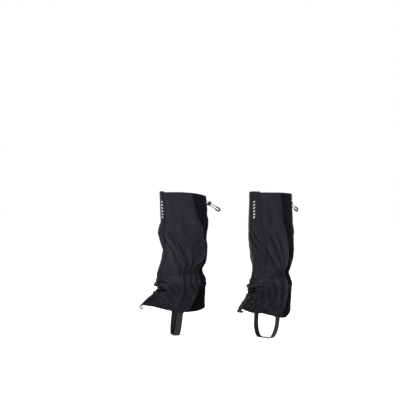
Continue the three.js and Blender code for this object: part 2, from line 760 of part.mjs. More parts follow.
function strapAnchorPatch() {
  const patch = roundedRectangle(STRAP_WIDTH + 2 * PATCH_MARGIN, PATCH_HEIGHT, 2);
  const outside = STRAP_OUT - STRAP / 2 - LAYER_GAP - LINER;
  return extrudeBlock(patch, LINER, 0)
    .rotateX(Math.PI / 2)
    .rotateZ(Math.PI / 2)
    .translate(-outside - LINER, -STRAP_FORWARD, STRAP_END_HEIGHT + 2 - PATCH_HEIGHT / 2);
}

// ---- Lace hook and its tab ------------------------------------------------------------------------
// Drawn in the plane of the leg: first coordinate forward, second up.
const flatOf = (point) => new THREE.Vector2(-point.y, point.z);
const frontPoint = (flat, across) => new THREE.Vector3(across, -flat.x, flat.y);

function hookPlaces() {
  const lift = FLAP_OUT + LAYER_GAP + TAB / 2;
  const rows = rowsBetween('lower_edge', 'boot_seam').slice(0, HOOK_TAB_LENGTH_ROWS);
  const sewn = rows.map((row) => flatOf(offSkin(0, row(0), lift))).reverse();
  const edge = sewn[sewn.length - 1];
  const along = edge.clone().sub(sewn[sewn.length - 2]).normalize();
  const inward = new THREE.Vector2(along.y, -along.x);
  const bar = edge.clone().addScaledVector(along, HOOK_REACH);
  bar.addScaledVector(inward, HOOK_LOOP_RADIUS);
  return { sewn, edge, along, inward, bar };
}

function laceHookTab() {
  const { sewn, edge, along, inward, bar } = hookPlaces();
  const start = Math.atan2(-inward.y, -inward.x);
  const turn = Array.from({ length: 7 }, (_, step) => {
    const angle = start - (Math.PI * step) / 6;
    return new THREE.Vector2(
      bar.x + HOOK_LOOP_RADIUS * Math.cos(angle),
      bar.y + HOOK_LOOP_RADIUS * Math.sin(angle),
    );
  });
  const end = edge.clone().addScaledVector(inward, 2 * HOOK_LOOP_RADIUS);
  end.addScaledVector(along, 2);
  const path = [...sewn, ...turn, end];
  return ribbon({ path, width: HOOK_TAB_WIDTH, thickness: TAB, toPoint: frontPoint });
}

function laceHook() {
  const { along, inward, bar } = hookPlaces();
  const at = (forward, down) =>
    bar.clone().addScaledVector(along, forward).addScaledVector(inward, down);
  const path = [
    at(-HOOK_BAR / 2, 0),
    at(2, 0),
    at(5, 0.2),
    at(7.5, 1.8),
    at(8.6, 4.6),
    at(7.8, 7.6),
    at(5.2, 9.2),
    at(2, 9.2),
    at(-0.5, 8.2),
  ];
  const strip = ribbon({ path, width: HOOK_WIDTH, thickness: HOOK, toPoint: frontPoint });
  const slotLength = TAB + 2 * BUCKLE_FIT + 0.6;
  const slotMiddle = at(HOOK_BAR / 2 + slotLength / 2, 0);
  const turn = Math.atan2(along.y, along.x);
  const slot = box(HOOK_TAB_WIDTH + 2 * BUCKLE_FIT, slotLength, 6, 0, 0, 0)
    .rotateX(-turn)
    .translate(0, -slotMiddle.x, slotMiddle.y);
  return cut(strip, [slot]);
}

// ---- One gaiter ------------------------------------------------------------------------------------
const FINISH = {
  calf_panel_outer: NYLON,
  calf_panel_inner: NYLON,
  calf_panel_rear: DARK_NYLON,
  boot_panel_outer: NYLON,
  boot_panel_inner: NYLON,
  heel_panel: DARK_NYLON,
  front_placket: DARK_NYLON,
  flap_lower: NYLON,
  flap_upper: NYLON,
  hook_tape: WEBBING,
  loop_tape_lower: WEBBING,
  loop_tape_upper: WEBBING,
  top_hem_facing: DARK_NYLON,
  lower_hem_facing: DARK_NYLON,
  ankle_elastic: WEBBING,
  drawcord_loop: CORDING,
  drawcord_in_hem_outer: CORDING,
  drawcord_in_hem_inner: CORDING,
  cord_pull: MOULDED,
  cord_lock_body: MOULDED,
  cord_lock_plunger: MOULDED,
  cord_lock_spring: STEEL,
  instep_strap: WEBBING,
  ladder_lock: MOULDED,
  strap_tab: WEBBING,
  strap_anchor_patch: DARK_NYLON,
  lace_hook_tab: WEBBING,
  lace_hook: BLACK_METAL,
};

function gaiterParts() {
  return {
    ...clothPanels(),
    calf_panel_rear: calfRearPanel(),
    ...flapAndTapes(),
    ...innerLayers(),
    ...drawcordParts(),
    cord_lock_body: placeOnLoop(lockBody(), LOCK_FROM_SHELL, 0),
    cord_lock_plunger: placeOnLoop(lockPlunger(), LOCK_FROM_SHELL, 0),
    cord_lock_spring: placeOnLoop(lockSpring(), LOCK_FROM_SHELL, 0),
    instep_strap: instepStrap(),
    ladder_lock: ladderLock(),
    strap_tab: strapTab(),
    strap_anchor_patch: strapAnchorPatch(),
    lace_hook_tab: laceHookTab(),
    lace_hook: laceHook(),
  };
}

function gaiter(side) {
  const sign = side === 'left' ? 1 : -1;
  const leg = new THREE.Group();
  for (const [name, geometry] of Object.entries(gaiterParts())) {
    const mesh = new THREE.Mesh(geometry, new THREE.MeshStandardMaterial(FINISH[name]));
    mesh.name = `${side}_${name}`;
    leg.add(mesh);
  }
  leg.scale.x = sign;
  leg.rotation.z = sign * degToRad(TOE_OUT);
  leg.position.set((sign * STANCE_WIDTH) / 2, (sign * STRIDE) / 2, 0);
  return leg;
}

const gaiters = new THREE.Group();
gaiters.name = 'gaiters';
gaiters.add(gaiter('right'), gaiter('left'));

export default gaiters;
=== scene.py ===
"""A pair of hiking gaiters in coated nylon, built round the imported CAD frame. Metres."""

import math
import bpy
import numpy as np
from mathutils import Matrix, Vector


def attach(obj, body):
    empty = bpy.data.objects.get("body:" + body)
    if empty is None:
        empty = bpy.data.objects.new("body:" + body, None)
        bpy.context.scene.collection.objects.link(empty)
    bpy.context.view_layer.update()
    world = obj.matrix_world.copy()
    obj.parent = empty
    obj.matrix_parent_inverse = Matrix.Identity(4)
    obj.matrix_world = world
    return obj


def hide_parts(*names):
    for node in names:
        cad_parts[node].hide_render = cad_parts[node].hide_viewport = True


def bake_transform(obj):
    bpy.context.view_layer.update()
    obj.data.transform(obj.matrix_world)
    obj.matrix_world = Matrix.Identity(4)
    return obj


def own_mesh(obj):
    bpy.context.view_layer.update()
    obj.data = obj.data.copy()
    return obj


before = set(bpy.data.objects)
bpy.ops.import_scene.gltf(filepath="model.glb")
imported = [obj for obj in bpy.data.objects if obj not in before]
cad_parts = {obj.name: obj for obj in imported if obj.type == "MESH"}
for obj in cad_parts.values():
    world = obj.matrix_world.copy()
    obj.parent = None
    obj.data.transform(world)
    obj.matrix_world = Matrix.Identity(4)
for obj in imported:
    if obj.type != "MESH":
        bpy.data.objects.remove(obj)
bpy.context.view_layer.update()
MM = 0.001
SIDES = ("right", "left")

# ---- Camera: the photograph's viewing angle ----
VIEW_AZIMUTH = math.radians(63)
CAMERA_DISTANCE = 4.0
CAMERA_HEIGHT = 0.448
CAMERA_ASIDE = -0.087  # the camera's axis passes this far to the left of the pair's middle
FRAME_WIDTH = 1.32  # width of the view at the pair
SENSOR_WIDTH = 36.0

towards_camera = Vector((math.sin(VIEW_AZIMUTH), -math.cos(VIEW_AZIMUTH), 0))
view_right = Vector((math.cos(VIEW_AZIMUTH), math.sin(VIEW_AZIMUTH), 0))
camera_data = bpy.data.cameras.new("camera")
camera_data.sensor_width = SENSOR_WIDTH
camera_data.lens = SENSOR_WIDTH * CAMERA_DISTANCE / FRAME_WIDTH
camera = bpy.data.objects.new("camera", camera_data)
camera.location = towards_camera * CAMERA_DISTANCE + view_right * CAMERA_ASIDE
camera.location.z = CAMERA_HEIGHT
camera.rotation_euler = (math.pi / 2, 0, VIEW_AZIMUTH)
bpy.context.scene.collection.objects.link(camera)
bpy.context.scene.camera = camera

# ---- The two legs' frames: X outwards from the wearer, Y backwards, Z up ----
STANCE_WIDTH = 0.189
STRIDE = 0.229
TOE_OUT = math.radians(15)


def sign_of(side):
    return 1 if side == "left" else -1


def to_row(side, points):
    """Points of a leg's own frame, as an array of rows, in the row frame."""
    sign = sign_of(side)
    points = np.asarray(points, float)
    x = sign * points[..., 0]
    y = points[..., 1]
    turn = sign * TOE_OUT
    return np.stack(
        [
            x * math.cos(turn) - y * math.sin(turn) + sign * STANCE_WIDTH / 2,
            x * math.sin(turn) + y * math.cos(turn) + sign * STRIDE / 2,
            points[..., 2],
        ],
        axis=-1,
    )


# ---- Meshes ----
def new_mesh(name, vertices, faces, uvs):
    """A smooth mesh object, with one UV for each vertex."""
    mesh = bpy.data.meshes.new(name)
    mesh.from_pydata([tuple(v) for v in vertices], [], [tuple(f) for f in faces])
    layer = mesh.uv_layers.new(name="UVMap")
    index = np.empty(len(mesh.loops), dtype=np.int32)
    mesh.loops.foreach_get("vertex_index", index)
    layer.data.foreach_set("uv", np.asarray(uvs, np.float32)[index].ravel())
    mesh.polygons.foreach_set("use_smooth", [True] * len(mesh.polygons))
    mesh.update()
    obj = bpy.data.objects.new(name, mesh)
    bpy.context.scene.collection.objects.link(obj)
    return obj


# ---- Drawcord loops: the route of the CAD tube ----
CORD = 2.2 * MM
CORD_SLOPE = math.radians(32)
LOOP_START = (0, 78.916 * MM, 443 * MM)  # where the middle of the loop leaves the calf
LOOP_ROUTE = [  # distance along the slope, then distance from the middle of the loop
    (-3.2, 3.3), (4, 3.3), (12, 3.3), (20, 3.3), (28, 3.3), (34, 3.4),
    (40, 3.9), (46, 4.5), (51, 4.7), (54, 3.7), (55.7, 1.5), (56.1, 0),
    (55.7, -1.5), (54, -3.7), (51, -4.7), (46, -4.5), (40, -3.9), (34, -3.4),
    (28, -3.3), (20, -3.3), (12, -3.3), (4, -3.3), (-0.6, -3.3),
]
PULL_FROM = 40  # the pull covers the loop from here to its tip
PULL_RADIUS = 2.8 * MM


def on_loop(along, across):
    along, across = along * MM, across * MM
    return (
        LOOP_START[0],
        LOOP_START[1] + along * math.cos(CORD_SLOPE) + across * math.sin(CORD_SLOPE),
        LOOP_START[2] - along * math.sin(CORD_SLOPE) + across * math.cos(CORD_SLOPE),
    )


def smooth_path(points, per_step):
    """A Catmull-Rom curve through the points."""
    points = np.asarray(points, float)
    ends = np.vstack([2 * points[0] - points[1], points, 2 * points[-1] - points[-2]])
    out = []
    for i in range(len(points) - 1):
        a, b, c, d = ends[i : i + 4]
        for t in np.arange(per_step) / per_step:
            out.append(
                0.5
                * (
                    2 * b
                    + (c - a) * t
                    + (2 * a - 5 * b + 4 * c - d) * t**2
                    + (3 * b - a - 3 * c + d) * t**3
                )
            )
    return np.array(out + [points[-1]])


def round_tube(name, points, radius, sides=12):
    """A closed round tube along the points. radius is a number, or one number for each point."""
    points = np.asarray(points, float)
    radius = np.broadcast_to(np.asarray(radius, float), len(points))
    tangent = np.gradient(points, axis=0)
    tangent /= np.linalg.norm(tangent, axis=1, keepdims=True)
    out = np.cross(tangent[0], (0.3, 0.9, 0.1))
    travel = np.concatenate([[0], np.cumsum(np.linalg.norm(np.diff(points, axis=0), axis=1))])
    turns = np.linspace(0, 2 * math.pi, sides, endpoint=False)
    vertices, uvs = [], []
    for point, along, r, where in zip(points, tangent, radius, travel):
        out = out - along * (out @ along)
        out /= np.linalg.norm(out)
        other = np.cross(along, out)
        for t in turns:
            vertices.append(point + (out * math.cos(t) + other * math.sin(t)) * r)
            uvs.append((where, t * r))
    faces = []
    for i in range(len(points) - 1):
        for k in range(sides):
            n = (k + 1) % sides
            a, b = i * sides, (i + 1) * sides
            faces.append((a + k, a + n, b + n, b + k))
    faces.append(tuple(range(sides))[::-1])
    faces.append(tuple(range((len(points) - 1) * sides, len(points) * sides)))
    return new_mesh(name, vertices, faces, uvs)


loops = {}
for side in SIDES:
    route = to_row(side, smooth_path([on_loop(*p) for p in LOOP_ROUTE], 6))
    loop = round_tube(f"{side}_drawcord", route, CORD / 2)
    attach(loop, f"{side}_gaiter")
    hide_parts(f"{side}_drawcord_loop")
    loops[side] = (loop, route)

# ---- Leg surface ----
# Heights and reaches in millimetres. The front and back lines follow each gaiter's own outline.
TOP_LINE = {  # height of the upper edge, by degrees round from the shin
    "right": [(0, 474), (85, 474), (118, 470), (150, 463), (180, 460)],
    "left": [(0, 473), (90, 472), (138, 468), (180, 463)],
}
ANKLE_HEIGHT = 207
TONGUE_HEIGHT = 103
SIDE_HEM_HEIGHT = 70
FRONT_SEAM_HEIGHT = 191
REAR_SEAM_HEIGHT = 166
WIDEST_FORWARD = 5
FLAP_HALF_ANGLE = 22
CHANNEL_WIDTH = 30
FRONT_LINE = {
    "right": [
        (103, 134), (115, 119.84), (128, 101.5), (144, 86.5), (153, 76.5), (163, 84.5),
        (174, 87.5), (188, 83.5), (207, 81.5), (241, 69.5), (280, 60.5), (318, 68.5),
        (336, 75.5), (377, 68.5), (410, 70.5), (468, 71.5),
    ],
    "left": [
        (103, 134), (113, 122), (126, 105), (141, 90), (158, 86), (174, 87), (188, 77),
        (211, 71), (232, 64), (255, 64), (301, 70), (341, 79), (370, 79), (401, 76),
        (468, 76),
    ],
}
BACK_LINE = {
    "right": [
        (80, 74), (125, 75), (167, 77), (188, 75), (199, 69), (207, 63), (222, 63),
        (241, 77), (262, 82), (300, 83), (316, 79), (336, 81), (370, 87), (400, 81),
        (415, 83), (445, 79), (468, 76),
    ],
    "left": [
        (80, 74), (124, 76), (160, 79), (180, 78), (197, 70), (207, 65), (220, 66),
        (240, 78), (262, 86), (303, 84), (346, 82), (409, 79), (468, 75),
    ],
}
SIDE_LINE = [(66, 52), (145, 57), (172, 57), (207, 46), (259, 62), (337, 64), (468, 60)]
HEM_LINE = {
    "right": [
        (-180, 92), (-150, 88), (-125, 82), (-92, 79), (-76, 84), (-55, 95), (-33, 106),
        (0, TONGUE_HEIGHT), (47, 92), (76, 76), (92, 70), (125, 72), (180, 92),
    ],
    "left": [
        (-180, 93), (-125, 76), (-92, 72), (-76, 77), (-47, 95), (0, TONGUE_HEIGHT),
        (25, 97), (47, 88), (76, 73), (92, 65), (108, 67), (138, 85), (180, 93),
    ],
}
FLAP_EDGE_LINE = {
    "right": [(103, 24), (150, 31), (210, 33), (300, 29), (380, 24), (468, 22)],
    "left": [
        (103, 24), (135, 32), (160, 37), (210, 36), (270, 33), (314, 37), (360, 28), (400, 23),
        (468, 22),
    ],
}
REAR_SEAM_OUTER = [(166, 112), (250, 105), (316, 99), (400, 86), (468, 76)]
REAR_SEAM_INNER = [(166, 130), (250, 140), (316, 143), (431, 111), (468, 105)]
HEEL_SEAM_LINE = [(66, 95), (100, 105), (141, 118), (170, 130), (189, 136)]
OUTER_HEEL_FORWARD = 8  # degrees by which the outer heel seam lies further forward
ARC = 1.15  # millimetres of cloth for each degree round the leg
CHANNEL_STITCHES = (21.5, 28.5)  # millimetres below the upper edge


def on_line(line, at, blur=4.0):
    places, values = zip(*line)
    shifts = np.linspace(-blur, blur, 5)
    return sum(np.interp(np.asarray(at) + s, places, values) for s in shifts) / len(shifts)


def smoothstep(value, low, high):
    t = np.clip((value - low) / (high - low), 0, 1)
    return t * t * (3 - 2 * t)


def bump(value, middle, width):
    return np.exp(-(((value - middle) / width) ** 2))


def wrap(angle):
    return (np.asarray(angle, float) + 180) % 360 - 180


def lower_edge(side, angle):
    return on_line(HEM_LINE[side], wrap(angle), 5)


def upper_edge(side, angle):
    return on_line(TOP_LINE[side], np.abs(wrap(angle)), 12)


def boot_seam(angle):
    fall = smoothstep(np.abs(wrap(angle)), 20, 80)
    return FRONT_SEAM_HEIGHT + (REAR_SEAM_HEIGHT - FRONT_SEAM_HEIGHT) * fall


# ---- Folds: a line of (angle, height) points, then the fold's width and height ----
FOLDS_INNER = [
    ([(-34, 338), (-50, 297), (-75, 250), (-94, 226)], 7, 3.6),
    ([(-58, 314), (-72, 280), (-93, 238)], 6, 3.2),
    ([(-26, 300), (-45, 262), (-70, 222)], 8, 2.6),
    ([(-100, 300), (-103, 265), (-106, 236)], 7, 2.2),
    ([(-156, 305), (-138, 262), (-120, 232)], 8, 3.0),
    ([(-170, 392), (-150, 372), (-132, 350)], 9, 2.6),
    ([(-168, 330), (-150, 322), (-128, 326)], 8, -2.0),
    ([(-88, 180), (-87, 150), (-79, 112), (-74, 84)], 5, 2.8),
    ([(-142, 170), (-128, 150), (-106, 100)], 6, 3.2),
    ([(-100, 168), (-112, 140), (-118, 110)], 6, 1.6),
    ([(16, 152), (-15, 152), (-38, 152), (-56, 140)], 3.2, -3.6),
    ([(16, 168), (-15, 169), (-36, 170), (-52, 160)], 6, 3.4),
    ([(14, 181), (-14, 182), (-36, 186), (-56, 192)], 4, 1.8),
    ([(14, 141), (-12, 140), (-36, 134), (-58, 118)], 4.5, 2.4),
    ([(-22, 148), (-40, 140), (-62, 118), (-72, 104)], 3, 2.2),
    ([(-20, 130), (-40, 122), (-58, 106)], 3, 2.0),
    ([(-30, 176), (-42, 162), (-62, 138), (-76, 120)], 3.2, 2.4),
    ([(-30, 113), (-44, 110), (-54, 103)], 2.6, 1.5),
    ([(-42, 186), (-56, 172), (-74, 150)], 3.6, 1.7),
    ([(-96, 432), (-108, 385), (-126, 334)], 14, 2.2),
    ([(-36, 436), (-46, 396), (-50, 352)], 13, 1.3),
    ([(-66, 426), (-72, 372), (-78, 322)], 12, 1.2),
]
FOLDS_OUTER = [
    ([(0, 372), (9, 344), (20, 318)], 5, 3.2),
    ([(-8, 352), (4, 318), (17, 288)], 4.5, 3.4),
    ([(-20, 338), (-12, 300), (4, 262)], 5, 2.4),
    ([(50, 360), (68, 305), (92, 243)], 7, 3.2),
    ([(34, 306), (54, 264), (80, 226)], 6, 2.8),
    ([(78, 338), (94, 284), (105, 238)], 8, 2.8),
    ([(134, 322), (124, 272), (113, 234)], 8, 3.0),
    ([(168, 380), (150, 350), (136, 330)], 9, 2.2),
    ([(40, 162), (49, 130), (64, 96)], 4.5, 2.8),
    ([(36, 128), (50, 108), (76, 84)], 4, 2.2),
    ([(58, 170), (66, 140), (78, 104)], 5, 1.8),
    ([(76, 204), (79, 160), (81, 110)], 6, 3.2),
    ([(98, 198), (100, 150), (98, 98)], 7, 2.8),
    ([(122, 172), (120, 130), (112, 90)], 7, 2.0),
    ([(-30, 153), (4, 151), (34, 156)], 3.2, -3.2),
    ([(-30, 170), (4, 169), (40, 176)], 4.5, 2.8),
    ([(-26, 141), (6, 138), (36, 132)], 4, 2.4),
    ([(-16, 126), (6, 121), (24, 108)], 3.4, 2.2),
    ([(36, 207), (56, 203), (80, 208)], 3, 1.8),
    ([(40, 184), (62, 186), (84, 182)], 3, 1.7),
    ([(42, 150), (56, 122), (72, 98)], 3.4, 2.2),
    ([(26, 232), (40, 226), (58, 216)], 4, 1.6),
    ([(60, 440), (68, 392), (70, 346)], 13, 1.4),
    ([(96, 432), (108, 385), (124, 334)], 14, 1.8),
]
FOLD_STRENGTH = {  # which gaiter wears which set of folds more strongly
    "right": (1.0, 0.8),
    "left": (0.75, 1.0),
}
FOLD_DEPTH = 1.5
PLEATS = 42  # gathers round a whole ankle
FINE_WAVES = 14
FINE_WAVE_SEED = {"right": 11, "left": 23}


def fold_relief(angle, height, line, width, crest):
    """A rounded crest along the line with a groove on its lower side, fading at both ends."""
    points = np.array([(a * ARC, h) for a, h in line], float)
    lengths = np.linalg.norm(np.diff(points, axis=0), axis=1)
    starts = np.concatenate([[0], np.cumsum(lengths)])
    place = np.stack([angle * ARC, height], axis=-1)
    best = np.full(angle.shape, 1e9)
    signed = np.zeros(angle.shape)
    travel = np.zeros(angle.shape)
    for i, length in enumerate(lengths):
        along = (points[i + 1] - points[i]) / length
        offset = place - points[i]
        t = np.clip(offset @ along, 0, length)
        gap = np.linalg.norm(offset - t[..., None] * along, axis=-1)
        across = offset[..., 0] * along[1] - offset[..., 1] * along[0]
        nearer = gap < best
        best = np.where(nearer, gap, best)
        signed = np.where(nearer, np.where(across > 0, gap, -gap), signed)
        travel = np.where(nearer, (starts[i] + t) / starts[-1], travel)
    taper = np.sin(np.pi * np.clip(travel * 0.9 + 0.05, 0, 1)) ** 0.8
    inside_ends = np.exp(-((np.clip(best - 2.6 * width, 0, None) / width) ** 2))
    ridge = bump(signed, 0, width)
    groove = 1.05 * bump(signed, 1.45 * width, 0.55 * width)
    return FOLD_DEPTH * crest * taper * inside_ends * (ridge - groove)


def fine_wrinkles(side, angle, height):
    """Small crumples, stronger over the boot than on the calf."""
    random = np.random.default_rng(FINE_WAVE_SEED[side])
    total = np.zeros(angle.shape)
    for _ in range(FINE_WAVES):
        heading = random.uniform(0, math.pi)
        length = random.uniform(16, 46)
        phase = random.uniform(0, 2 * math.pi)
        warp = random.uniform(1.0, 2.4)
        x = angle * ARC * math.cos(heading) + height * math.sin(heading)
        y = height * math.cos(heading) - angle * ARC * math.sin(heading)
        wave = np.sin(2 * math.pi * x / length + warp * np.sin(y / 31 + phase) + phase)
        total += (1 - np.abs(wave)) ** 2 - 0.33
    strength = 0.16 + 0.34 * smoothstep(-height, -215, -150) + 0.1 * bump(height, 300, 60)
    return strength * total


def gathers(angle, height):
    """Pleats of the rear half, drawn in by the ankle elastic."""
    rear = smoothstep(np.abs(wrap(angle)), 68, 92)
    away = height - ANKLE_HEIGHT
    drift = 9 * np.sin(angle / 17) + 6 * np.sin(angle / 7.3 + 1)
    turn = np.radians(angle * PLEATS + drift * 4)
    crease = lambda t: 1 - 2 * np.abs(np.sin(t / 2)) ** 1.4
    uneven = 0.75 + 0.35 * np.sin(angle / 11 + 2) * np.sin(angle / 5.1)
    tight = 3.6 * bump(away, 2, 15) * crease(turn) * uneven
    loose = 3.2 * bump(np.abs(away), 23, 17) * crease(turn / 2 + 0.03 * away) * uneven
    sewn = -0.9 * (bump(away, 5, 1.3) + bump(away, -5, 1.3))
    return rear * (tight + loose + sewn)


def relief(side, angle, height):
    """How far the cloth stands off the leg surface, in millimetres."""
    angle = wrap(angle)
    inner, outer = FOLD_STRENGTH[side]
    total = fine_wrinkles(side, angle, height) + gathers(angle, height)
    for folds, strength in ((FOLDS_INNER, inner), (FOLDS_OUTER, outer)):
        for line, width, crest in folds:
            total += strength * fold_relief(angle, height, line, width, crest)
    below_top = upper_edge(side, angle) - height
    calm = smoothstep(below_top, 12, 60)
    pucker = 0.35 * bump(below_top, 31, 9) * np.cos(np.radians(angle * 58 + 40 * np.sin(angle / 9)))
    channel = 0.9 * bump(below_top, 11, 9)
    for stitches_below in CHANNEL_STITCHES:
        channel = channel - 0.5 * bump(below_top, stitches_below, 1.2)
    at_hem = smoothstep(height - lower_edge(side, angle), 0, 16)
    return total * (0.18 + 0.82 * calm) * (0.3 + 0.7 * at_hem) + pucker + channel


def painted_shade_of(side, angle, height):
    """Painted highlight on the crests of the folds and painted shade in their grooves; painted shade also
    at the hem, over the boot (most at its front) and round the ankle.
    """
    folds = np.clip(relief(side, angle, height) / 4.5, -0.8, 0.6)
    hem = 1 - smoothstep(height - lower_edge(side, angle), 6, 13)
    boot = smoothstep(-height, -175, -150) * (0.45 + 0.6 * bump(wrap(angle), 5, 45))
    drawn = smoothstep(np.abs(wrap(angle)), 60, 95) * bump(height, ANKLE_HEIGHT + 4, 30)
    return folds - 0.7 * hem - 0.7 * boot - 0.9 * drawn


def leg_surface(side, angle, height, with_folds=True):
    """Points of the cloth's inner face in the leg's frame, in millimetres."""
    angle, height = np.broadcast_arrays(np.asarray(angle, float), np.asarray(height, float))
    turn = np.radians(angle)
    front = on_line(FRONT_LINE[side], height) - WIDEST_FORWARD
    back = on_line(BACK_LINE[side], height) + WIDEST_FORWARD
    half = on_line(SIDE_LINE, height, 6)
    reach = np.where(np.cos(turn) > 0, front, back)
    forward = WIDEST_FORWARD + np.cos(turn) * reach
    points = np.stack([half * np.sin(turn), -forward, height], axis=-1)
    if with_folds:
        points = points + surface_normal(side, angle, height) * relief(side, angle, height)[..., None]
    return points


def surface_normal(side, angle, height, reach=2):
    """The direction that faces away from the leg, without the folds."""
    place = lambda a, h: leg_surface(side, a, h, False)
    across = place(angle + reach, height) - place(angle - reach, height)
    up = place(angle, height + reach) - place(angle, height - reach)
    normal = np.cross(across, up)
    return normal / np.linalg.norm(normal, axis=-1, keepdims=True)


def cloth_points(side, angle, height, offset):
    """Points that stand offset millimetres off the folded surface, in the row frame."""
    lift = surface_normal(side, angle, height) * np.asarray(offset, float)[..., None]
    return to_row(side, (leg_surface(side, angle, height) + lift) * MM)


# ---- Cloth ----
def slab_faces(columns, rows, flip):
    """Faces of a closed sheet whose outer grid comes first, then its inner grid."""
    index = np.arange(2 * columns * rows).reshape(2, columns, rows)
    outer, inner = index
    quads = []

    def grid(a, turn):
        q = np.stack([a[:-1, :-1], a[1:, :-1], a[1:, 1:], a[:-1, 1:]], axis=-1).reshape(-1, 4)
        quads.append(q[:, ::-1] if turn else q)

    def strip(a, b, turn):
        q = np.stack([a[:-1], a[1:], b[1:], b[:-1]], axis=-1)
        quads.append(q[:, ::-1] if turn else q)

    grid(outer, False)
    grid(inner, True)
    strip(inner[:, 0], outer[:, 0], False)
    strip(outer[:, -1], inner[:, -1], False)
    strip(outer[0], inner[0], False)
    strip(inner[-1], outer[-1], False)
    faces = np.vstack(quads)
    return faces[:, ::-1] if flip else faces


CELL = 2.4  # millimetres between the points of a cloth grid


def cloth(side, name, across, up, offset=0.0, thickness=0.8, rolled=(), cell=CELL):
    """A piece of cloth between two angles, across, and two edges, up. Each may be a number or a
    function of the other. offset is its inner face's distance off the surface. rolled names the
    edges, of left right low high, where the cloth is turned under and stands thicker."""
    as_function = lambda value: value if callable(value) else (lambda _: np.full_like(_, value, float))
    left, right = (as_function(v) for v in across)
    low, high = (as_function(v) for v in up)
    middle = np.array([float(up[1]) if not callable(up[1]) else 300.0])
    width = float((right(middle) - left(middle))[0]) * ARC
    centre = np.array([float((right(middle) + left(middle))[0]) / 2])
    tall = float((high(centre) - low(centre))[0])
    columns = max(4, int(width / cell) + 1)
    rows = max(4, int(tall / cell) + 1)
    share_across, share_up = np.meshgrid(
        np.linspace(0, 1, columns), np.linspace(0, 1, rows), indexing="ij"
    )
    height = low(centre)[0] + share_up * tall
    for _ in range(4):
        angle = left(height) + share_across * (right(height) - left(height))
        height = low(angle) + share_up * (high(angle) - low(angle))
    edge = {
        "left": share_across * width,
        "right": (1 - share_across) * width,
        "low": share_up * tall,
        "high": (1 - share_up) * tall,
    }
    roll = np.zeros_like(angle)
    for which in rolled:
        step = smoothstep(-edge[which], -7.5, -6.0) * 0.55
        roll = np.maximum(roll, step * (0.35 + 0.65 * smoothstep(edge[which], -0.4, 1.2)))
    base = offset(angle, height) if callable(offset) else np.full_like(angle, offset)
    outer = cloth_points(side, angle, height, base + thickness + roll)
    inner = cloth_points(side, angle, height, base)
    vertices = np.concatenate([outer.reshape(-1, 3), inner.reshape(-1, 3)])
    uv = np.stack([angle * ARC * MM, height * MM], axis=-1).reshape(-1, 2)
    faces = slab_faces(columns, rows, side == "right")
    piece = new_mesh(f"{side}_{name}", vertices, faces, np.vstack([uv, uv]))
    # The crest attribute carries the painted highlight and painted shade that the nylon materials mix into
    # their colour.
    crest = painted_shade_of(side, angle, height).ravel().astype(np.float32)
    attribute = piece.data.attributes.new("crest", "FLOAT", "POINT")
    attribute.data.foreach_set("value", np.concatenate([crest, crest]))
    bare = leg_surface(side, angle, height, False) * MM
    du = np.linalg.norm(np.diff(bare, axis=0), axis=-1)
    dv = np.linalg.norm(np.diff(bare, axis=1), axis=-1)
    flat = (float(du.sum(axis=0).max()), float(dv.sum(axis=1).max()))
    cell_area = np.linalg.norm(
        np.cross(bare[1:, :-1] - bare[:-1, :-1], bare[:-1, 1:] - bare[:-1, :-1]), axis=-1
    )
    piece["flat"] = flat
    piece["cut_area"] = float(cell_area.sum())
    return piece


def declare_cloth(piece):
    del piece["flat"]
    del piece["cut_area"]


def finish_piece(side, piece, node, material, held=None, body="gaiter"):
    """Gives a piece its material and its body, in place of the CAD node."""
    piece.data.materials.append(material)
    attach(piece, f"{side}_{body}")
    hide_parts(f"{side}_{node}")
    if held:
        declare_cloth(piece)


# ---- Materials ----
class Nodes:
    """Small helper for writing a node material."""

    def __init__(self, name):
        self.material = bpy.data.materials.new(name)
        self.material.use_nodes = True
        self.tree = self.material.node_tree
        self.shader = self.tree.nodes["Principled BSDF"]

    def add(self, kind, inputs=None, **settings):
        node = self.tree.nodes.new(kind)
        for key, value in settings.items():
            setattr(node, key, value)
        for key, value in (inputs or {}).items():
            if isinstance(value, bpy.types.NodeSocket):
                self.tree.links.new(value, node.inputs[key])
            else:
                node.inputs[key].default_value = value
        return node

    def maths(self, operation, a, b=0.0):
        node = self.add("ShaderNodeMath", {0: a, 1: b}, operation=operation)
        return node.outputs[0]

    def coordinates(self, scale):
        source = self.add("ShaderNodeUVMap", uv_map="UVMap").outputs["UV"]
        return self.add("ShaderNodeMapping", {"Vector": source, "Scale": scale}).outputs[0]

    def place(self):
        return self.add("ShaderNodeTexCoord").outputs["Object"]

    def noise(self, scale, detail=3.0, vector=None):
        inputs = {"Vector": vector or self.place(), "Scale": scale, "Detail": detail}
        return self.add("ShaderNodeTexNoise", inputs).outputs["Fac"]

    def between(self, factor, low, high):
        inputs = {"Value": factor, "To Min": low, "To Max": high}
        return self.add("ShaderNodeMapRange", inputs).outputs["Result"]

    def shade(self, factor, dark, light):
        mix = self.add("ShaderNodeMix", {0: factor}, data_type="RGBA")
        mix.inputs[6].default_value = (*dark, 1)
        mix.inputs[7].default_value = (*light, 1)
        return mix.outputs[2]

    def bump(self, height, distance, strength=1.0, normal=None):
        inputs = {"Height": height, "Distance": distance, "Strength": strength}
        if normal:
            inputs["Normal"] = normal
        return self.add("ShaderNodeBump", inputs).outputs["Normal"]

    def output(self, colour=None, roughness=None, normal=None, **fixed):
        for socket, value in (("Base Color", colour), ("Roughness", roughness), ("Normal", normal)):
            if value is not None:
                self.tree.links.new(value, self.shader.inputs[socket])
        for name, value in fixed.items():
            self.shader.inputs[name.replace("_", " ")].default_value = value
        return self.material


def bands(nodes, vector, direction):
    """A soft wave, one cycle for each unit of the vector, from 0 to 1."""
    inputs = {"Vector": vector, "Scale": 0.05 * 2 * math.pi, "Distortion": 0.0}
    wave = nodes.add("ShaderNodeTexWave", inputs, wave_type="BANDS", bands_direction=direction)
    return wave.outputs["Fac"]


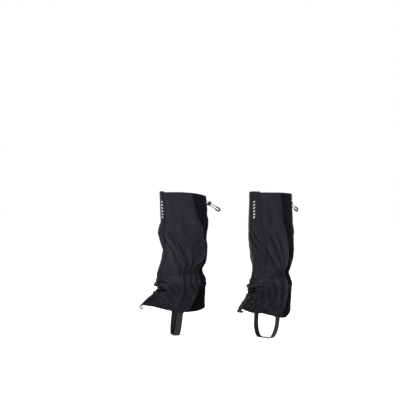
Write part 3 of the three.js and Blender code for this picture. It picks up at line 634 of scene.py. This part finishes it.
FINE_WEAVE = (0.0005, 0.005, 0.00006)  # the yarn's pitch, the ripstop's pitch and the relief
TOUGH_WEAVE = (0.0009, 0.0009, 0.00012)
LINING_WEAVE = (0.0004, 0.004, 0.00003)
SATIN = 0.42  # roughness of the coated cloth, the cord lock and the buckle


def nylon(name, dark, light, weave, roughness=SATIN, gloss=0.05):
    """Coated nylon: a plain weave and a thicker yarn round each ripstop square, with painted highlight and
    painted shade from the crest attribute.
    """
    yarn, ripstop, weave_depth = weave
    n = Nodes(name)
    fine = n.coordinates((1 / yarn, 1 / yarn, 1))
    plain = n.maths("MULTIPLY", bands(n, fine, "X"), bands(n, fine, "Y"))
    square = n.coordinates((1 / ripstop, 1 / ripstop, 1))
    lines = n.maths(
        "MAXIMUM",
        n.maths("POWER", bands(n, square, "X"), 24.0),
        n.maths("POWER", bands(n, square, "Y"), 24.0),
    )
    # crest: painted highlight on fold crests, painted shade in the grooves, at the hem, over the boot and
    # round the ankle
    crest = n.add("ShaderNodeAttribute", attribute_name="crest").outputs["Fac"]
    cloudy = n.noise(9.0)
    speckle = n.noise(900.0, 2.0)
    tone = n.maths("ADD", n.maths("MULTIPLY", cloudy, 0.55), n.maths("MULTIPLY", speckle, 0.2))
    tone = n.maths("ADD", tone, n.maths("MULTIPLY", crest, 0.6))
    tone = n.maths("ADD", tone, n.maths("MULTIPLY", lines, 0.12))
    colour = n.shade(n.maths("ADD", tone, 0.05), dark, light)
    wrinkles = n.bump(n.noise(70.0, 4.0), 0.0012, 0.5)
    raised = n.maths("ADD", plain, n.maths("MULTIPLY", lines, 1.4))
    normal = n.bump(raised, weave_depth, 0.6, wrinkles)
    rough = n.between(n.noise(26.0), roughness - 0.07, roughness + 0.07)
    return n.output(colour, rough, normal, Specular_IOR_Level=gloss)


def woven(name, dark, light, rib, depth, roughness=0.8):
    """Webbing, tape, braid or elastic: diagonal ribs crossed by rows of yarn."""
    n = Nodes(name)
    along = n.coordinates((1 / rib, 1 / rib, 1))
    twill = bands(n, along, "DIAGONAL")
    rows = bands(n, n.coordinates((0.5 / rib, 2 / rib, 1)), "Y")
    raised = n.maths("ADD", twill, n.maths("MULTIPLY", rows, 0.6))
    tone = n.maths("ADD", n.maths("MULTIPLY", n.noise(40.0), 0.6), n.maths("MULTIPLY", raised, 0.25))
    return n.output(
        n.shade(tone, dark, light),
        n.between(n.noise(200.0), roughness - 0.08, roughness + 0.08),
        n.bump(raised, depth, 0.8),
        Specular_IOR_Level=0.15,
    )


def moulded(name, dark, light, roughness, metallic=0.0):
    """Moulded plastic or coated metal with a fine grain and scuffs."""
    n = Nodes(name)
    grain = n.noise(2600.0, 2.0)
    scuff = n.maths("POWER", n.noise(160.0, 5.0), 3.0)
    return n.output(
        n.shade(n.maths("ADD", scuff, n.maths("MULTIPLY", n.noise(60.0), 0.5)), dark, light),
        n.between(n.maths("ADD", grain, scuff), roughness - 0.1, roughness + 0.15),
        n.bump(grain, 0.00008, 0.6),
        Metallic=metallic,
        Specular_IOR_Level=0.18,
    )


def braided(name, dark, light):
    """Round cord with crossing strands."""
    n = Nodes(name)
    vector = n.add("ShaderNodeMapping", {"Vector": n.place(), "Scale": (900, 900, 900)}).outputs[0]
    crossing = n.maths("MULTIPLY", bands(n, vector, "X"), bands(n, vector, "Z"))
    return n.output(
        n.shade(n.maths("ADD", crossing, n.maths("MULTIPLY", n.noise(50.0), 0.3)), dark, light),
        n.between(n.noise(300.0), 0.6, 0.8),
        n.bump(crossing, 0.0002, 0.7),
        Specular_IOR_Level=0.15,
    )


SHELL_CLOTH = nylon("coated_nylon", (0.0052, 0.0051, 0.0072), (0.0134, 0.013, 0.018), FINE_WEAVE)
FLAP_CLOTH = nylon("flap_nylon", (0.0038, 0.0037, 0.0053), (0.0105, 0.0102, 0.0142), FINE_WEAVE)
BOOT_CLOTH = nylon("boot_nylon", (0.0042, 0.0041, 0.0058), (0.0112, 0.011, 0.015), TOUGH_WEAVE)
# Darker copies of the shell and boot cloth: painted shade on the rear calf panel and the heel panel; the
# placket under the flap wears the first copy.
PAINTED_SHADE_CLOTH = nylon("painted_shade_nylon", (0.0022, 0.0021, 0.0031), (0.0062, 0.006, 0.0083), FINE_WEAVE, 0.6, 0.01)
PAINTED_SHADE_HEEL_CLOTH = nylon("heel_nylon_painted_shade", (0.0014, 0.0014, 0.002), (0.0042, 0.0041, 0.0054), TOUGH_WEAVE, 0.6, 0.01)
LINING = nylon("lining", (0.006, 0.006, 0.007), (0.015, 0.015, 0.018), LINING_WEAVE, 0.45)
HOOK_TAPE = woven("hook_tape", (0.005, 0.005, 0.006), (0.022, 0.022, 0.024), 0.0011, 0.0005, 0.6)
LOOP_TAPE = woven("loop_tape", (0.006, 0.006, 0.007), (0.018, 0.018, 0.02), 0.0016, 0.0006, 0.9)
WEBBING = woven("webbing", (0.006, 0.006, 0.007), (0.018, 0.018, 0.02), 0.0016, 0.00025)
ELASTIC = woven("elastic", (0.007, 0.007, 0.008), (0.018, 0.018, 0.02), 0.0009, 0.0003)
THREAD = moulded("thread", (0.008, 0.008, 0.01), (0.024, 0.024, 0.028), 0.55)
CORD_BRAID = braided("cord_braid", (0.004, 0.004, 0.005), (0.013, 0.013, 0.015))
PLASTIC = moulded("black_plastic", (0.004, 0.004, 0.005), (0.014, 0.014, 0.016), SATIN)
HOOK_METAL = moulded("hook_coating", (0.003, 0.003, 0.004), (0.011, 0.011, 0.013), 0.4)
SPRING_STEEL = moulded("spring_steel", (0.3, 0.3, 0.31), (0.6, 0.6, 0.62), 0.28, 1.0)
REFLECTIVE = moulded("reflective_print", (0.22, 0.22, 0.24), (0.4, 0.4, 0.43), 0.4)

# ---- Cloth pieces ----
SHELL_IN = 0.4  # millimetres off the leg surface, as are all these offsets
SHELL_OUT = 1.2
REAR_IN = SHELL_IN - 0.15  # the rear and heel panels lie under their neighbours' laps
PLACKET_IN = 0.2
HOOK_TAPE_IN = 1.4
LOOP_TAPE_IN = 2.55
CHANNEL_IN = -1.1
HEM_FACING_IN = -0.8
ELASTIC_IN = -1.2
FRONT_EDGE = 19.5  # degrees round from the shin to the outer panels' front edge
SEWN_TO = -20.5  # the inner panels run this far under the flap's sewn edge
TAPE_ANGLES = (-12, 12)
ELASTIC_ANGLES = (105, 255)
LAP = 4.5  # degrees by which one panel overlaps the next at a seam
LAP_UP = 7  # millimetres by which the boot panels overlap the calf panels
LAP_RISE = 0.9
FLAP_OFF = 3.6


def outer_seam(height):
    return on_line(REAR_SEAM_OUTER, height, 12)


def inner_seam(height):
    return on_line(REAR_SEAM_INNER, height, 12)


def heel_seam_inner(height):
    return on_line(HEEL_SEAM_LINE, height, 6)


def heel_seam_outer(height):
    return heel_seam_inner(height) - OUTER_HEEL_FORWARD


def boot_lap(angle):
    return boot_seam(angle) + LAP_UP


def lap_offset(seam):
    """Lifts a panel where it passes over its neighbour at a seam angle."""

    def offset(angle, height):
        at = seam(height) if callable(seam) else seam
        over = smoothstep(np.abs(wrap(angle)), at - LAP * 0.7, at)
        return SHELL_IN + LAP_RISE * over

    return offset


def boot_offset(angle, height):
    over = smoothstep(height, boot_seam(angle) - 2, boot_seam(angle) + 3)
    seam = np.where(wrap(angle) > 0, heel_seam_outer(height), heel_seam_inner(height))
    heel = smoothstep(np.abs(wrap(angle)), seam - LAP * 0.7, seam)
    return SHELL_IN + LAP_RISE * np.maximum(over, heel)


def flap_offset(angle, _):
    rise = smoothstep(angle, -FLAP_HALF_ANGLE, -FLAP_HALF_ANGLE + 8)
    return 1.4 + (FLAP_OFF - 1.2) * rise


def flap_free_edge(side):
    """The flap's free edge wanders a little where the shin folds push it."""
    return lambda height: on_line(FLAP_EDGE_LINE[side], height, 8)


def calf_pieces(side):
    top = lambda a: upper_edge(side, a)
    outer = cloth(
        side, "calf_cloth_outer", (FRONT_EDGE, lambda h: outer_seam(h) + LAP / 2),
        (boot_seam, top), lap_offset(outer_seam), rolled=("high", "right"),
    )
    inner = cloth(
        side, "calf_cloth_inner", (lambda h: -inner_seam(h) - LAP / 2, SEWN_TO),
        (boot_seam, top), lap_offset(inner_seam), rolled=("high", "left"),
    )
    rear = cloth(
        side, "calf_cloth_rear",
        (lambda h: outer_seam(h) - LAP / 2, lambda h: 360 - inner_seam(h) + LAP / 2),
        (boot_seam, top), REAR_IN, rolled=("high",),
    )
    finish_piece(side, outer, "calf_panel_outer", SHELL_CLOTH, "gathered")
    finish_piece(side, inner, "calf_panel_inner", SHELL_CLOTH, "gathered")
    finish_piece(side, rear, "calf_panel_rear", PAINTED_SHADE_CLOTH, "gathered")


def boot_pieces(side):
    hem = lambda a: lower_edge(side, a)
    outer = cloth(
        side, "boot_cloth_outer", (FRONT_EDGE, lambda h: heel_seam_outer(h) + LAP / 2),
        (hem, boot_lap), boot_offset, rolled=("low", "high", "right"),
    )
    inner = cloth(
        side, "boot_cloth_inner", (lambda h: -heel_seam_inner(h) - LAP / 2, SEWN_TO),
        (hem, boot_lap), boot_offset, rolled=("low", "high", "left"),
    )
    heel_offset = lambda a, h: REAR_IN + LAP_RISE * smoothstep(h, boot_seam(a) - 2, boot_seam(a) + 3)
    heel = cloth(
        side, "heel_cloth",
        (lambda h: heel_seam_outer(h) - LAP / 2, lambda h: 360 - heel_seam_inner(h) + LAP / 2),
        (hem, boot_lap), heel_offset, rolled=("low", "high"),
    )
    finish_piece(side, outer, "boot_panel_outer", BOOT_CLOTH, "gathered")
    finish_piece(side, inner, "boot_panel_inner", BOOT_CLOTH, "gathered")
    finish_piece(side, heel, "heel_panel", PAINTED_SHADE_HEEL_CLOTH, "gathered")


def blend_flap(piece):
    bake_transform(piece)


def finish_flap_piece(side, piece, node, material):
    piece.data.materials.append(material)
    blend_flap(piece)
    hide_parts(f"{side}_{node}_lower", f"{side}_{node}_upper")
    declare_cloth(piece)


def closure_tape(side, name, offset, thickness):
    """A strip down the middle of the closure, short of the hem and of the drawcord channel."""
    ends = (lambda a: lower_edge(side, a) + 13, lambda a: upper_edge(side, a) - CHANNEL_WIDTH)
    return cloth(side, name, TAPE_ANGLES, ends, offset, thickness, cell=3.2)


def flap_pieces(side):
    hem = lambda a: lower_edge(side, a)
    top = lambda a: upper_edge(side, a) + 3
    flap = cloth(
        side, "storm_flap", (-FLAP_HALF_ANGLE - 1, flap_free_edge(side)), (hem, top),
        flap_offset, thickness=0.9, rolled=("high", "right"), cell=2.0,
    )
    finish_flap_piece(side, flap, "flap", FLAP_CLOTH)
    tape = closure_tape(side, "loop_tape", LOOP_TAPE_IN, 0.8)
    finish_flap_piece(side, tape, "loop_tape", LOOP_TAPE)


def inner_pieces(side):
    top = lambda a: upper_edge(side, a)
    hem = lambda a: lower_edge(side, a)
    placket = cloth(side, "front_placket_cloth", (-16, 19), (hem, top), PLACKET_IN, 0.8, ("left",))
    finish_piece(side, placket, "front_placket", PAINTED_SHADE_CLOTH, "hung")
    tape = closure_tape(side, "hook_tape_cloth", HOOK_TAPE_IN, 0.7)
    finish_piece(side, tape, "hook_tape", HOOK_TAPE, "hung")
    around = (FRONT_EDGE, 360 - FLAP_HALF_ANGLE - 2)
    down = lambda a, h: np.clip((top(a) - h) / CHANNEL_WIDTH, 0, 1)
    channel = cloth(
        side, "top_hem_cloth", around, (lambda a: top(a) - CHANNEL_WIDTH, lambda a: top(a) - 0.5),
        lambda a, h: CHANNEL_IN - 4.2 * np.sin(np.pi * down(a, h)), 0.8, cell=3.0,
    )
    finish_piece(side, channel, "top_hem_facing", LINING, "gathered")
    facing = cloth(
        side, "lower_hem_cloth", around, (hem, lambda a: hem(a) + 11), HEM_FACING_IN, 0.8, cell=3.0
    )
    finish_piece(side, facing, "lower_hem_facing", LINING, "gathered")
    elastic = cloth(side, "ankle_elastic_band", ELASTIC_ANGLES, (200, 214), ELASTIC_IN, 1.0)
    finish_piece(side, elastic, "ankle_elastic", ELASTIC)


for side in SIDES:
    calf_pieces(side)
    boot_pieces(side)
    flap_pieces(side)
    inner_pieces(side)

# ---- Stitching ----
STITCH = 2.6
STITCH_PITCH = 3.4
STITCH_RADIUS = 0.32
ON_SHELL = SHELL_OUT + 0.1  # offsets of the stitches
ON_LAP = SHELL_OUT + 0.9
ON_BOOT_LAP = SHELL_IN + LAP_RISE + 0.9
ON_FLAP = 0.2 + FLAP_OFF + 1.0
BOOT_STITCHES = (1.6, 4.6)  # above the boot seam
FLAP_STITCHES = (1.6, 6.0)  # degrees from the free edge


def stitch_row(side, angles, heights, offset):
    """Stitches along a line on the cloth: their starts, their middles, raised a little, and their ends."""
    line = np.stack([np.asarray(angles) * ARC, np.asarray(heights)], axis=-1)
    steps = np.linalg.norm(np.diff(line, axis=0), axis=1)
    travel = np.concatenate([[0], np.cumsum(steps)])
    starts = np.arange(0, travel[-1] - STITCH, STITCH_PITCH)
    ends = starts + STITCH
    at = lambda where: (np.interp(where, travel, angles), np.interp(where, travel, heights))
    lift = np.full(len(starts), 0.0) + offset
    return (
        cloth_points(side, *at(starts), lift),
        cloth_points(side, *at((starts + ends) / 2), lift + 0.12),
        cloth_points(side, *at(ends), lift),
    )


def stitches(side, name, rows):
    """One mesh of slim six-sided stitches, pointed where they enter the cloth."""
    vertices, faces = [], []
    ring = [(math.cos(k * math.pi / 3), math.sin(k * math.pi / 3)) for k in range(6)]
    for start, middle, end in rows:
        for a, m, b in zip(start, middle, end):
            along = (b - a) / np.linalg.norm(b - a)
            out = np.cross(along, [0.0, 0.0, 1.0] if abs(along[2]) < 0.9 else [1.0, 0.0, 0.0])
            out = out / np.linalg.norm(out)
            other = np.cross(along, out)
            first = len(vertices)
            vertices.append(a)
            for centre in (0.75 * m + 0.25 * a, 0.75 * m + 0.25 * b):
                for c, s in ring:
                    vertices.append(centre + (out * c + other * s) * STITCH_RADIUS * MM)
            vertices.append(b)
            last = first + 13
            for k in range(6):
                n = (k + 1) % 6
                faces.append((first, first + 1 + n, first + 1 + k))
                faces.append((first + 1 + k, first + 1 + n, first + 7 + n, first + 7 + k))
                faces.append((last, first + 7 + k, first + 7 + n))
    piece = new_mesh(f"{side}_{name}", vertices, faces, np.zeros((len(vertices), 2)))
    piece.data.materials.append(THREAD)
    return piece


def gaiter_stitching(side):
    around = np.arange(21, 337, 1.0)
    rows = []
    for below in CHANNEL_STITCHES:
        rows.append(stitch_row(side, around, upper_edge(side, around) - below, ON_SHELL))
    for above in BOOT_STITCHES:
        rows.append(stitch_row(side, around, boot_seam(around) + above, ON_BOOT_LAP))
    rows.append(stitch_row(side, around, lower_edge(side, around) + 7.5, ON_SHELL))
    for sign in (1, -1):
        heights = np.arange(178, 446, 2.0)
        seam = outer_seam if sign > 0 else inner_seam
        for shift in (-0.8, 1.2):
            angles = sign * (seam(heights) + shift)
            rows.append(stitch_row(side, angles, heights, ON_LAP))
        heights = np.arange(78, 168, 2.0)
        heel_seam = heel_seam_outer if sign > 0 else heel_seam_inner
        angles = sign * (heel_seam(heights) + 0.4)
        rows.append(stitch_row(side, angles, heights, ON_LAP))
    piece = stitches(side, "seam_stitching", rows)
    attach(piece, f"{side}_gaiter")
    heights = np.arange(110, 466, 2.0)
    edge = flap_free_edge(side)
    flap_rows = [stitch_row(side, edge(heights) - inside, heights, ON_FLAP) for inside in FLAP_STITCHES]
    angles = np.arange(-12, 21, 1.0)
    flap_rows.append(stitch_row(side, angles, upper_edge(side, angles) - 4, ON_FLAP))
    flap_piece = stitches(side, "flap_stitching", flap_rows)
    blend_flap(flap_piece)


for side in SIDES:
    gaiter_stitching(side)

# ---- Reflective print: plain slanted bars ----
BARS = 6
BAR_TOP = 444
BAR_PITCH = 10
BAR_TALL = 4.5
BAR_HALF_ANGLE = 3.8
BAR_SLANT = 4
BAR_MIDDLE = {"right": -15, "left": 3}  # degrees round from the shin


def reflective_bars(side):
    """Six raised bars in one mesh, which lies on the flap."""
    vertices, faces = [], []
    columns, rows = 9, 6
    for bar in range(BARS):
        top = BAR_TOP - bar * BAR_PITCH
        share_across, share_up = np.meshgrid(
            np.linspace(-1, 1, columns), np.linspace(0, 1, rows), indexing="ij"
        )
        angle = BAR_MIDDLE[side] + share_across * BAR_HALF_ANGLE
        height = top - BAR_TALL * (1 - share_up) + BAR_SLANT * share_across / 2
        base = flap_offset(angle, height) + 0.9
        outer = cloth_points(side, angle, height, base + 0.18).reshape(-1, 3)
        inner = cloth_points(side, angle, height, base + 0.02).reshape(-1, 3)
        first = len(vertices)
        vertices.extend(np.vstack([outer, inner]))
        faces.extend(slab_faces(columns, rows, side == "right") + first)
    piece = new_mesh(f"{side}_reflective_bars", vertices, faces, np.zeros((len(vertices), 2)))
    piece.data.materials.append(REFLECTIVE)
    blend_flap(piece)


for side in SIDES:
    reflective_bars(side)

# ---- Webbing and cords ----
def ribbon(name, side, path, width, thickness, across_axis, steps=5, across=7, droop=None):
    """A strap along a smooth path of the leg's frame, wide along across_axis; droop lowers its edges."""
    path = smooth_path(path, steps)
    tangent = np.gradient(path, axis=0)
    tangent /= np.linalg.norm(tangent, axis=1, keepdims=True)
    wide = np.asarray(across_axis, float)
    normal = np.cross(tangent, wide)
    normal /= np.linalg.norm(normal, axis=1, keepdims=True)
    share = np.linspace(-0.5, 0.5, across)
    edge = 1 - 0.35 * np.abs(2 * share) ** 6
    outer = path[:, None] + wide * (share * width)[None, :, None]
    if droop is not None:
        fall = np.interp(np.arange(len(path)) / steps, np.arange(len(droop)), droop)
        outer = outer - normal[:, None] * (fall[:, None] * (2 * share) ** 2)[..., None]
    lift = normal[:, None] * (edge * thickness / 2)[None, :, None]
    grid = np.stack([outer + lift, outer - lift])
    travel = np.concatenate([[0], np.cumsum(np.linalg.norm(np.diff(path, axis=0), axis=1))])
    uv = np.stack(np.meshgrid(travel, share * width, indexing="ij"), axis=-1).reshape(-1, 2)
    faces = slab_faces(len(path), across, side == "left")
    vertices = to_row(side, grid.reshape(-1, 3))
    return new_mesh(f"{side}_{name}", vertices, faces, np.vstack([uv, uv]))


STRAP_WIDTH = 20 * MM
STRAP = 1.4 * MM
STRAP_OUT = 48.685 * MM
STRAP_FLAT_HALF = 22 * MM
STRAP_ARC_HEIGHT = 60 * MM
STRAP_FORWARD = 18 * MM
STRAP_LEAN = 8 * MM
BUCKLE_TO_STRAP = (3 / 2 + 0.4) * MM + STRAP / 2  # half the buckle, its fit and half the webbing
BUCKLE_MID = STRAP_OUT - BUCKLE_TO_STRAP
TAIL_MID = BUCKLE_MID - BUCKLE_TO_STRAP
TURN_HEIGHT = 93.3 * MM
STRAP_END_HEIGHT = 97 * MM
STRAP_TAIL_HEIGHT = 70 * MM


def strap_place(x, height):
    lean = STRAP_LEAN * max(0, min(1, 1 - height / (SIDE_HEM_HEIGHT * MM)))
    return (x, -STRAP_FORWARD - lean, height)


def instep_strap(side):
    reach = STRAP_OUT - STRAP_FLAT_HALF
    rise = STRAP_ARC_HEIGHT - STRAP / 2
    turns = [k * math.pi / 16 for k in range(9)]
    quarter = [
        (STRAP_FLAT_HALF + reach * math.sin(t), STRAP / 2 + rise * (1 - math.cos(t))) for t in turns
    ]
    top = [
        (BUCKLE_MID + BUCKLE_TO_STRAP * math.cos(t), TURN_HEIGHT + BUCKLE_TO_STRAP * math.sin(t))
        for t in (k * math.pi / 6 for k in range(7))
    ]
    path = (
        [(-STRAP_OUT, STRAP_END_HEIGHT), (-STRAP_OUT, 78 * MM)]
        + [(-x, z) for x, z in reversed(quarter)]
        + [(0, STRAP / 2)]
        + quarter
        + [(STRAP_OUT, 78 * MM)]
        + top
        + [(TAIL_MID, STRAP_TAIL_HEIGHT)]
    )
    piece = ribbon(
        "instep_webbing", side, [strap_place(x, z) for x, z in path], STRAP_WIDTH, STRAP, (0, 1, 0)
    )
    finish_piece(side, piece, "instep_strap", WEBBING)


for side in SIDES:
    instep_strap(side)

for side in SIDES:
    loop, route = loops[side]
    loop.data.materials.append(CORD_BRAID)
    covered = [on_loop(a, b) for a, b in LOOP_ROUTE if a >= PULL_FROM]
    pull_path = to_row(side, smooth_path(covered, 6))
    travel = np.linspace(0, 1, len(pull_path))
    ends = smoothstep(np.minimum(travel, 1 - travel), -0.01, 0.03)
    grooves = 0.08 * np.cos(travel * 2 * math.pi * 22) * smoothstep(np.abs(travel - 0.5), 0.08, 0.2)
    girth = PULL_RADIUS * (0.72 + 0.2 * ends + grooves)
    pull = round_tube(f"{side}_cord_pull_sleeve", pull_path, girth)
    finish_piece(side, pull, "cord_pull", PLASTIC)

# ---- Tabs, the strap's anchor and the cord ends inside the top hem ----
HOOK_TAB_ROUTE = [  # forward, then up, in millimetres; the tab ends by looping round the hook's bar
    (98, 139.6), (111, 129), (124.2, 118.1), (136.7, 105.65), (141.64, 100.71), (142.24, 98.49),
    (140.62, 96.86), (138.39, 97.45), (134.85, 100.98),
]
HOOK_TAB_DROOP = [2.6, 2.6, 2.4, 1.2, 0, 0, 0, 0, 0]  # how far its edges fall over the tongue
STRAP_TAB_ROUTE = [  # outwards, then up, in millimetres; the tab loops round the ladder-lock's top bar
    (53.1, 128), (53.1, 120), (48.58, 111), (48.58, 106), (47.33, 103.84), (44.84, 103.84),
    (43.58, 106), (43.58, 111), (51.6, 120), (51.6, 128),
]
TAB = 1.2 * MM
HOOK_TAB_WIDTH = 14 * MM
PATCH_WIDTH = 26 * MM
PATCH_OUT = STRAP_OUT - STRAP / 2 - 0.8 * MM
PATCH_FROM, PATCH_TO = 75, 99
HEM_CORD_ANGLES = (26, 178.6)
HEM_CORD_IN = -2.1
TURNS_OUT_FROM = 140  # from here the cord heads for its exit


def small_pieces(side):
    route = [(0, -forward * MM, up * MM) for forward, up in HOOK_TAB_ROUTE]
    droop = np.array(HOOK_TAB_DROOP) * MM
    tab = ribbon("hook_tab_webbing", side, route, HOOK_TAB_WIDTH, TAB, (1, 0, 0), 6, 9, droop)
    finish_piece(side, tab, "lace_hook_tab", WEBBING)
    route = [strap_place(x * MM, z * MM) for x, z in STRAP_TAB_ROUTE]
    tab = ribbon("buckle_tab_webbing", side, route, STRAP_WIDTH, TAB, (0, 1, 0), 6, 9)
    finish_piece(side, tab, "strap_tab", WEBBING)
    route = [strap_place(-PATCH_OUT, z * MM) for z in np.linspace(PATCH_FROM, PATCH_TO, 7)]
    patch = ribbon("strap_anchor_cloth", side, route, PATCH_WIDTH, 1.0 * MM, (0, 1, 0), 4, 11)
    finish_piece(side, patch, "strap_anchor_patch", LINING)
    angles = np.linspace(*HEM_CORD_ANGLES, 90)
    turning = smoothstep(angles, TURNS_OUT_FROM, HEM_CORD_ANGLES[1])[:, None]
    for sign, name, end in ((1, "outer", LOOP_ROUTE[0]), (-1, "inner", LOOP_ROUTE[-1])):
        heights = upper_edge(side, sign * angles) - CHANNEL_WIDTH / 2
        route = cloth_points(side, sign * angles, heights, HEM_CORD_IN)
        route = route + turning * (to_row(side, on_loop(*end)) - route[-1])
        cord = round_tube(f"{side}_hem_cord_{name}", route, CORD / 2)
        finish_piece(side, cord, f"drawcord_in_hem_{name}", CORD_BRAID)


for side in SIDES:
    small_pieces(side)

# ---- Cord lock springs: a helix inside each lock ----
SPRING_FROM = -7.65 * MM  # the fixed end of the coil, across the lock
SPRING_LENGTH = 4.34 * MM
SPRING_MIDDLE = (90.365 * MM, 435.845 * MM)
SPRING_RADIUS = 1.85 * MM
SPRING_WIRE = 0.25 * MM  # radius of the wire
SPRING_TURNS = 4

for side in SIDES:
    turns = np.linspace(0, 2 * math.pi * SPRING_TURNS, 24 * SPRING_TURNS + 1)
    rise = smoothstep(turns / turns[-1], 0.06, 0.94)
    coil = np.stack(
        [
            SPRING_FROM + SPRING_WIRE + (SPRING_LENGTH - 2 * SPRING_WIRE) * rise,
            SPRING_MIDDLE[0] + SPRING_RADIUS * np.cos(turns),
            SPRING_MIDDLE[1] + SPRING_RADIUS * np.sin(turns),
        ],
        axis=-1,
    )
    spring = round_tube(f"{side}_lock_coil", to_row(side, coil), SPRING_WIRE, 8)
    finish_piece(side, spring, "cord_lock_spring", SPRING_STEEL, body="cord_lock")
    ends = to_row(side, [(SPRING_FROM, *SPRING_MIDDLE), (0, *SPRING_MIDDLE)])
    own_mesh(spring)

# ---- CAD pieces that keep their shape ----
CAD_FINISH = {
    "cord_lock_body": PLASTIC,
    "cord_lock_plunger": PLASTIC,
    "ladder_lock": PLASTIC,
    "lace_hook": HOOK_METAL,
}
for side in SIDES:
    for node, material in CAD_FINISH.items():
        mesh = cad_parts[f"{side}_{node}"].data
        mesh.materials.clear()
        mesh.materials.append(material)

# ---- Floor and light ----
FLOOR_HEIGHT = -0.02
FLOOR_SIZE = 30.0
DOME = 0.2  # the studio is white at eye level and dim overhead


def pale(name, grey, glow):
    """A matt floor that glows a little, so that it stays white out to the horizon."""
    n = Nodes(name)
    tint = n.shade(n.noise(3.0), (grey,) * 3, (grey * 1.01,) * 3)
    n.shader.inputs["Emission Color"].default_value = (1, 1, 1, 1)
    return n.output(tint, Roughness=0.9, Emission_Strength=glow)


bpy.ops.mesh.primitive_plane_add(size=FLOOR_SIZE, location=(0, 0, FLOOR_HEIGHT))
floor = bpy.context.object
floor.name = "studio_floor"
floor.data.materials.append(pale("pale_floor", 0.62, 0.8))

world = bpy.data.worlds.new("studio")
bpy.context.scene.world = world
world.use_nodes = True
sky = world.node_tree
direction = sky.nodes.new("ShaderNodeTexCoord").outputs["Generated"]
split = sky.nodes.new("ShaderNodeSeparateXYZ")
sky.links.new(direction, split.inputs[0])
fade = sky.nodes.new("ShaderNodeMapRange")
fade.interpolation_type = "SMOOTHSTEP"
for socket, value in (("From Min", 0.2), ("From Max", 0.5), ("To Min", 1.0), ("To Max", DOME)):
    fade.inputs[socket].default_value = value
sky.links.new(split.outputs["Z"], fade.inputs["Value"])
sky.nodes["Background"].inputs["Color"].default_value = (1, 1, 1, 1)
sky.links.new(fade.outputs["Result"], sky.nodes["Background"].inputs["Strength"])


def area_light(name, azimuth, elevation, distance, size, power):
    a, e = math.radians(azimuth), math.radians(elevation)
    data = bpy.data.lights.new(name, "AREA")
    data.shape = "DISK"
    data.size = size
    data.energy = power
    light = bpy.data.objects.new(name, data)
    back = Vector((math.sin(a) * math.cos(e), -math.cos(a) * math.cos(e), math.sin(e)))
    light.location = back * distance + Vector((0, 0, 0.25))
    light.rotation_euler = back.to_track_quat("Z", "Y").to_euler()
    bpy.context.scene.collection.objects.link(light)


area_light("key", 58, 50, 3.2, 0.8, 165)
area_light("side", -15, 22, 3.6, 0.8, 36)
area_light("back", 215, 35, 3.6, 1.6, 40)

bpy.context.scene.view_settings.view_transform = "Standard"
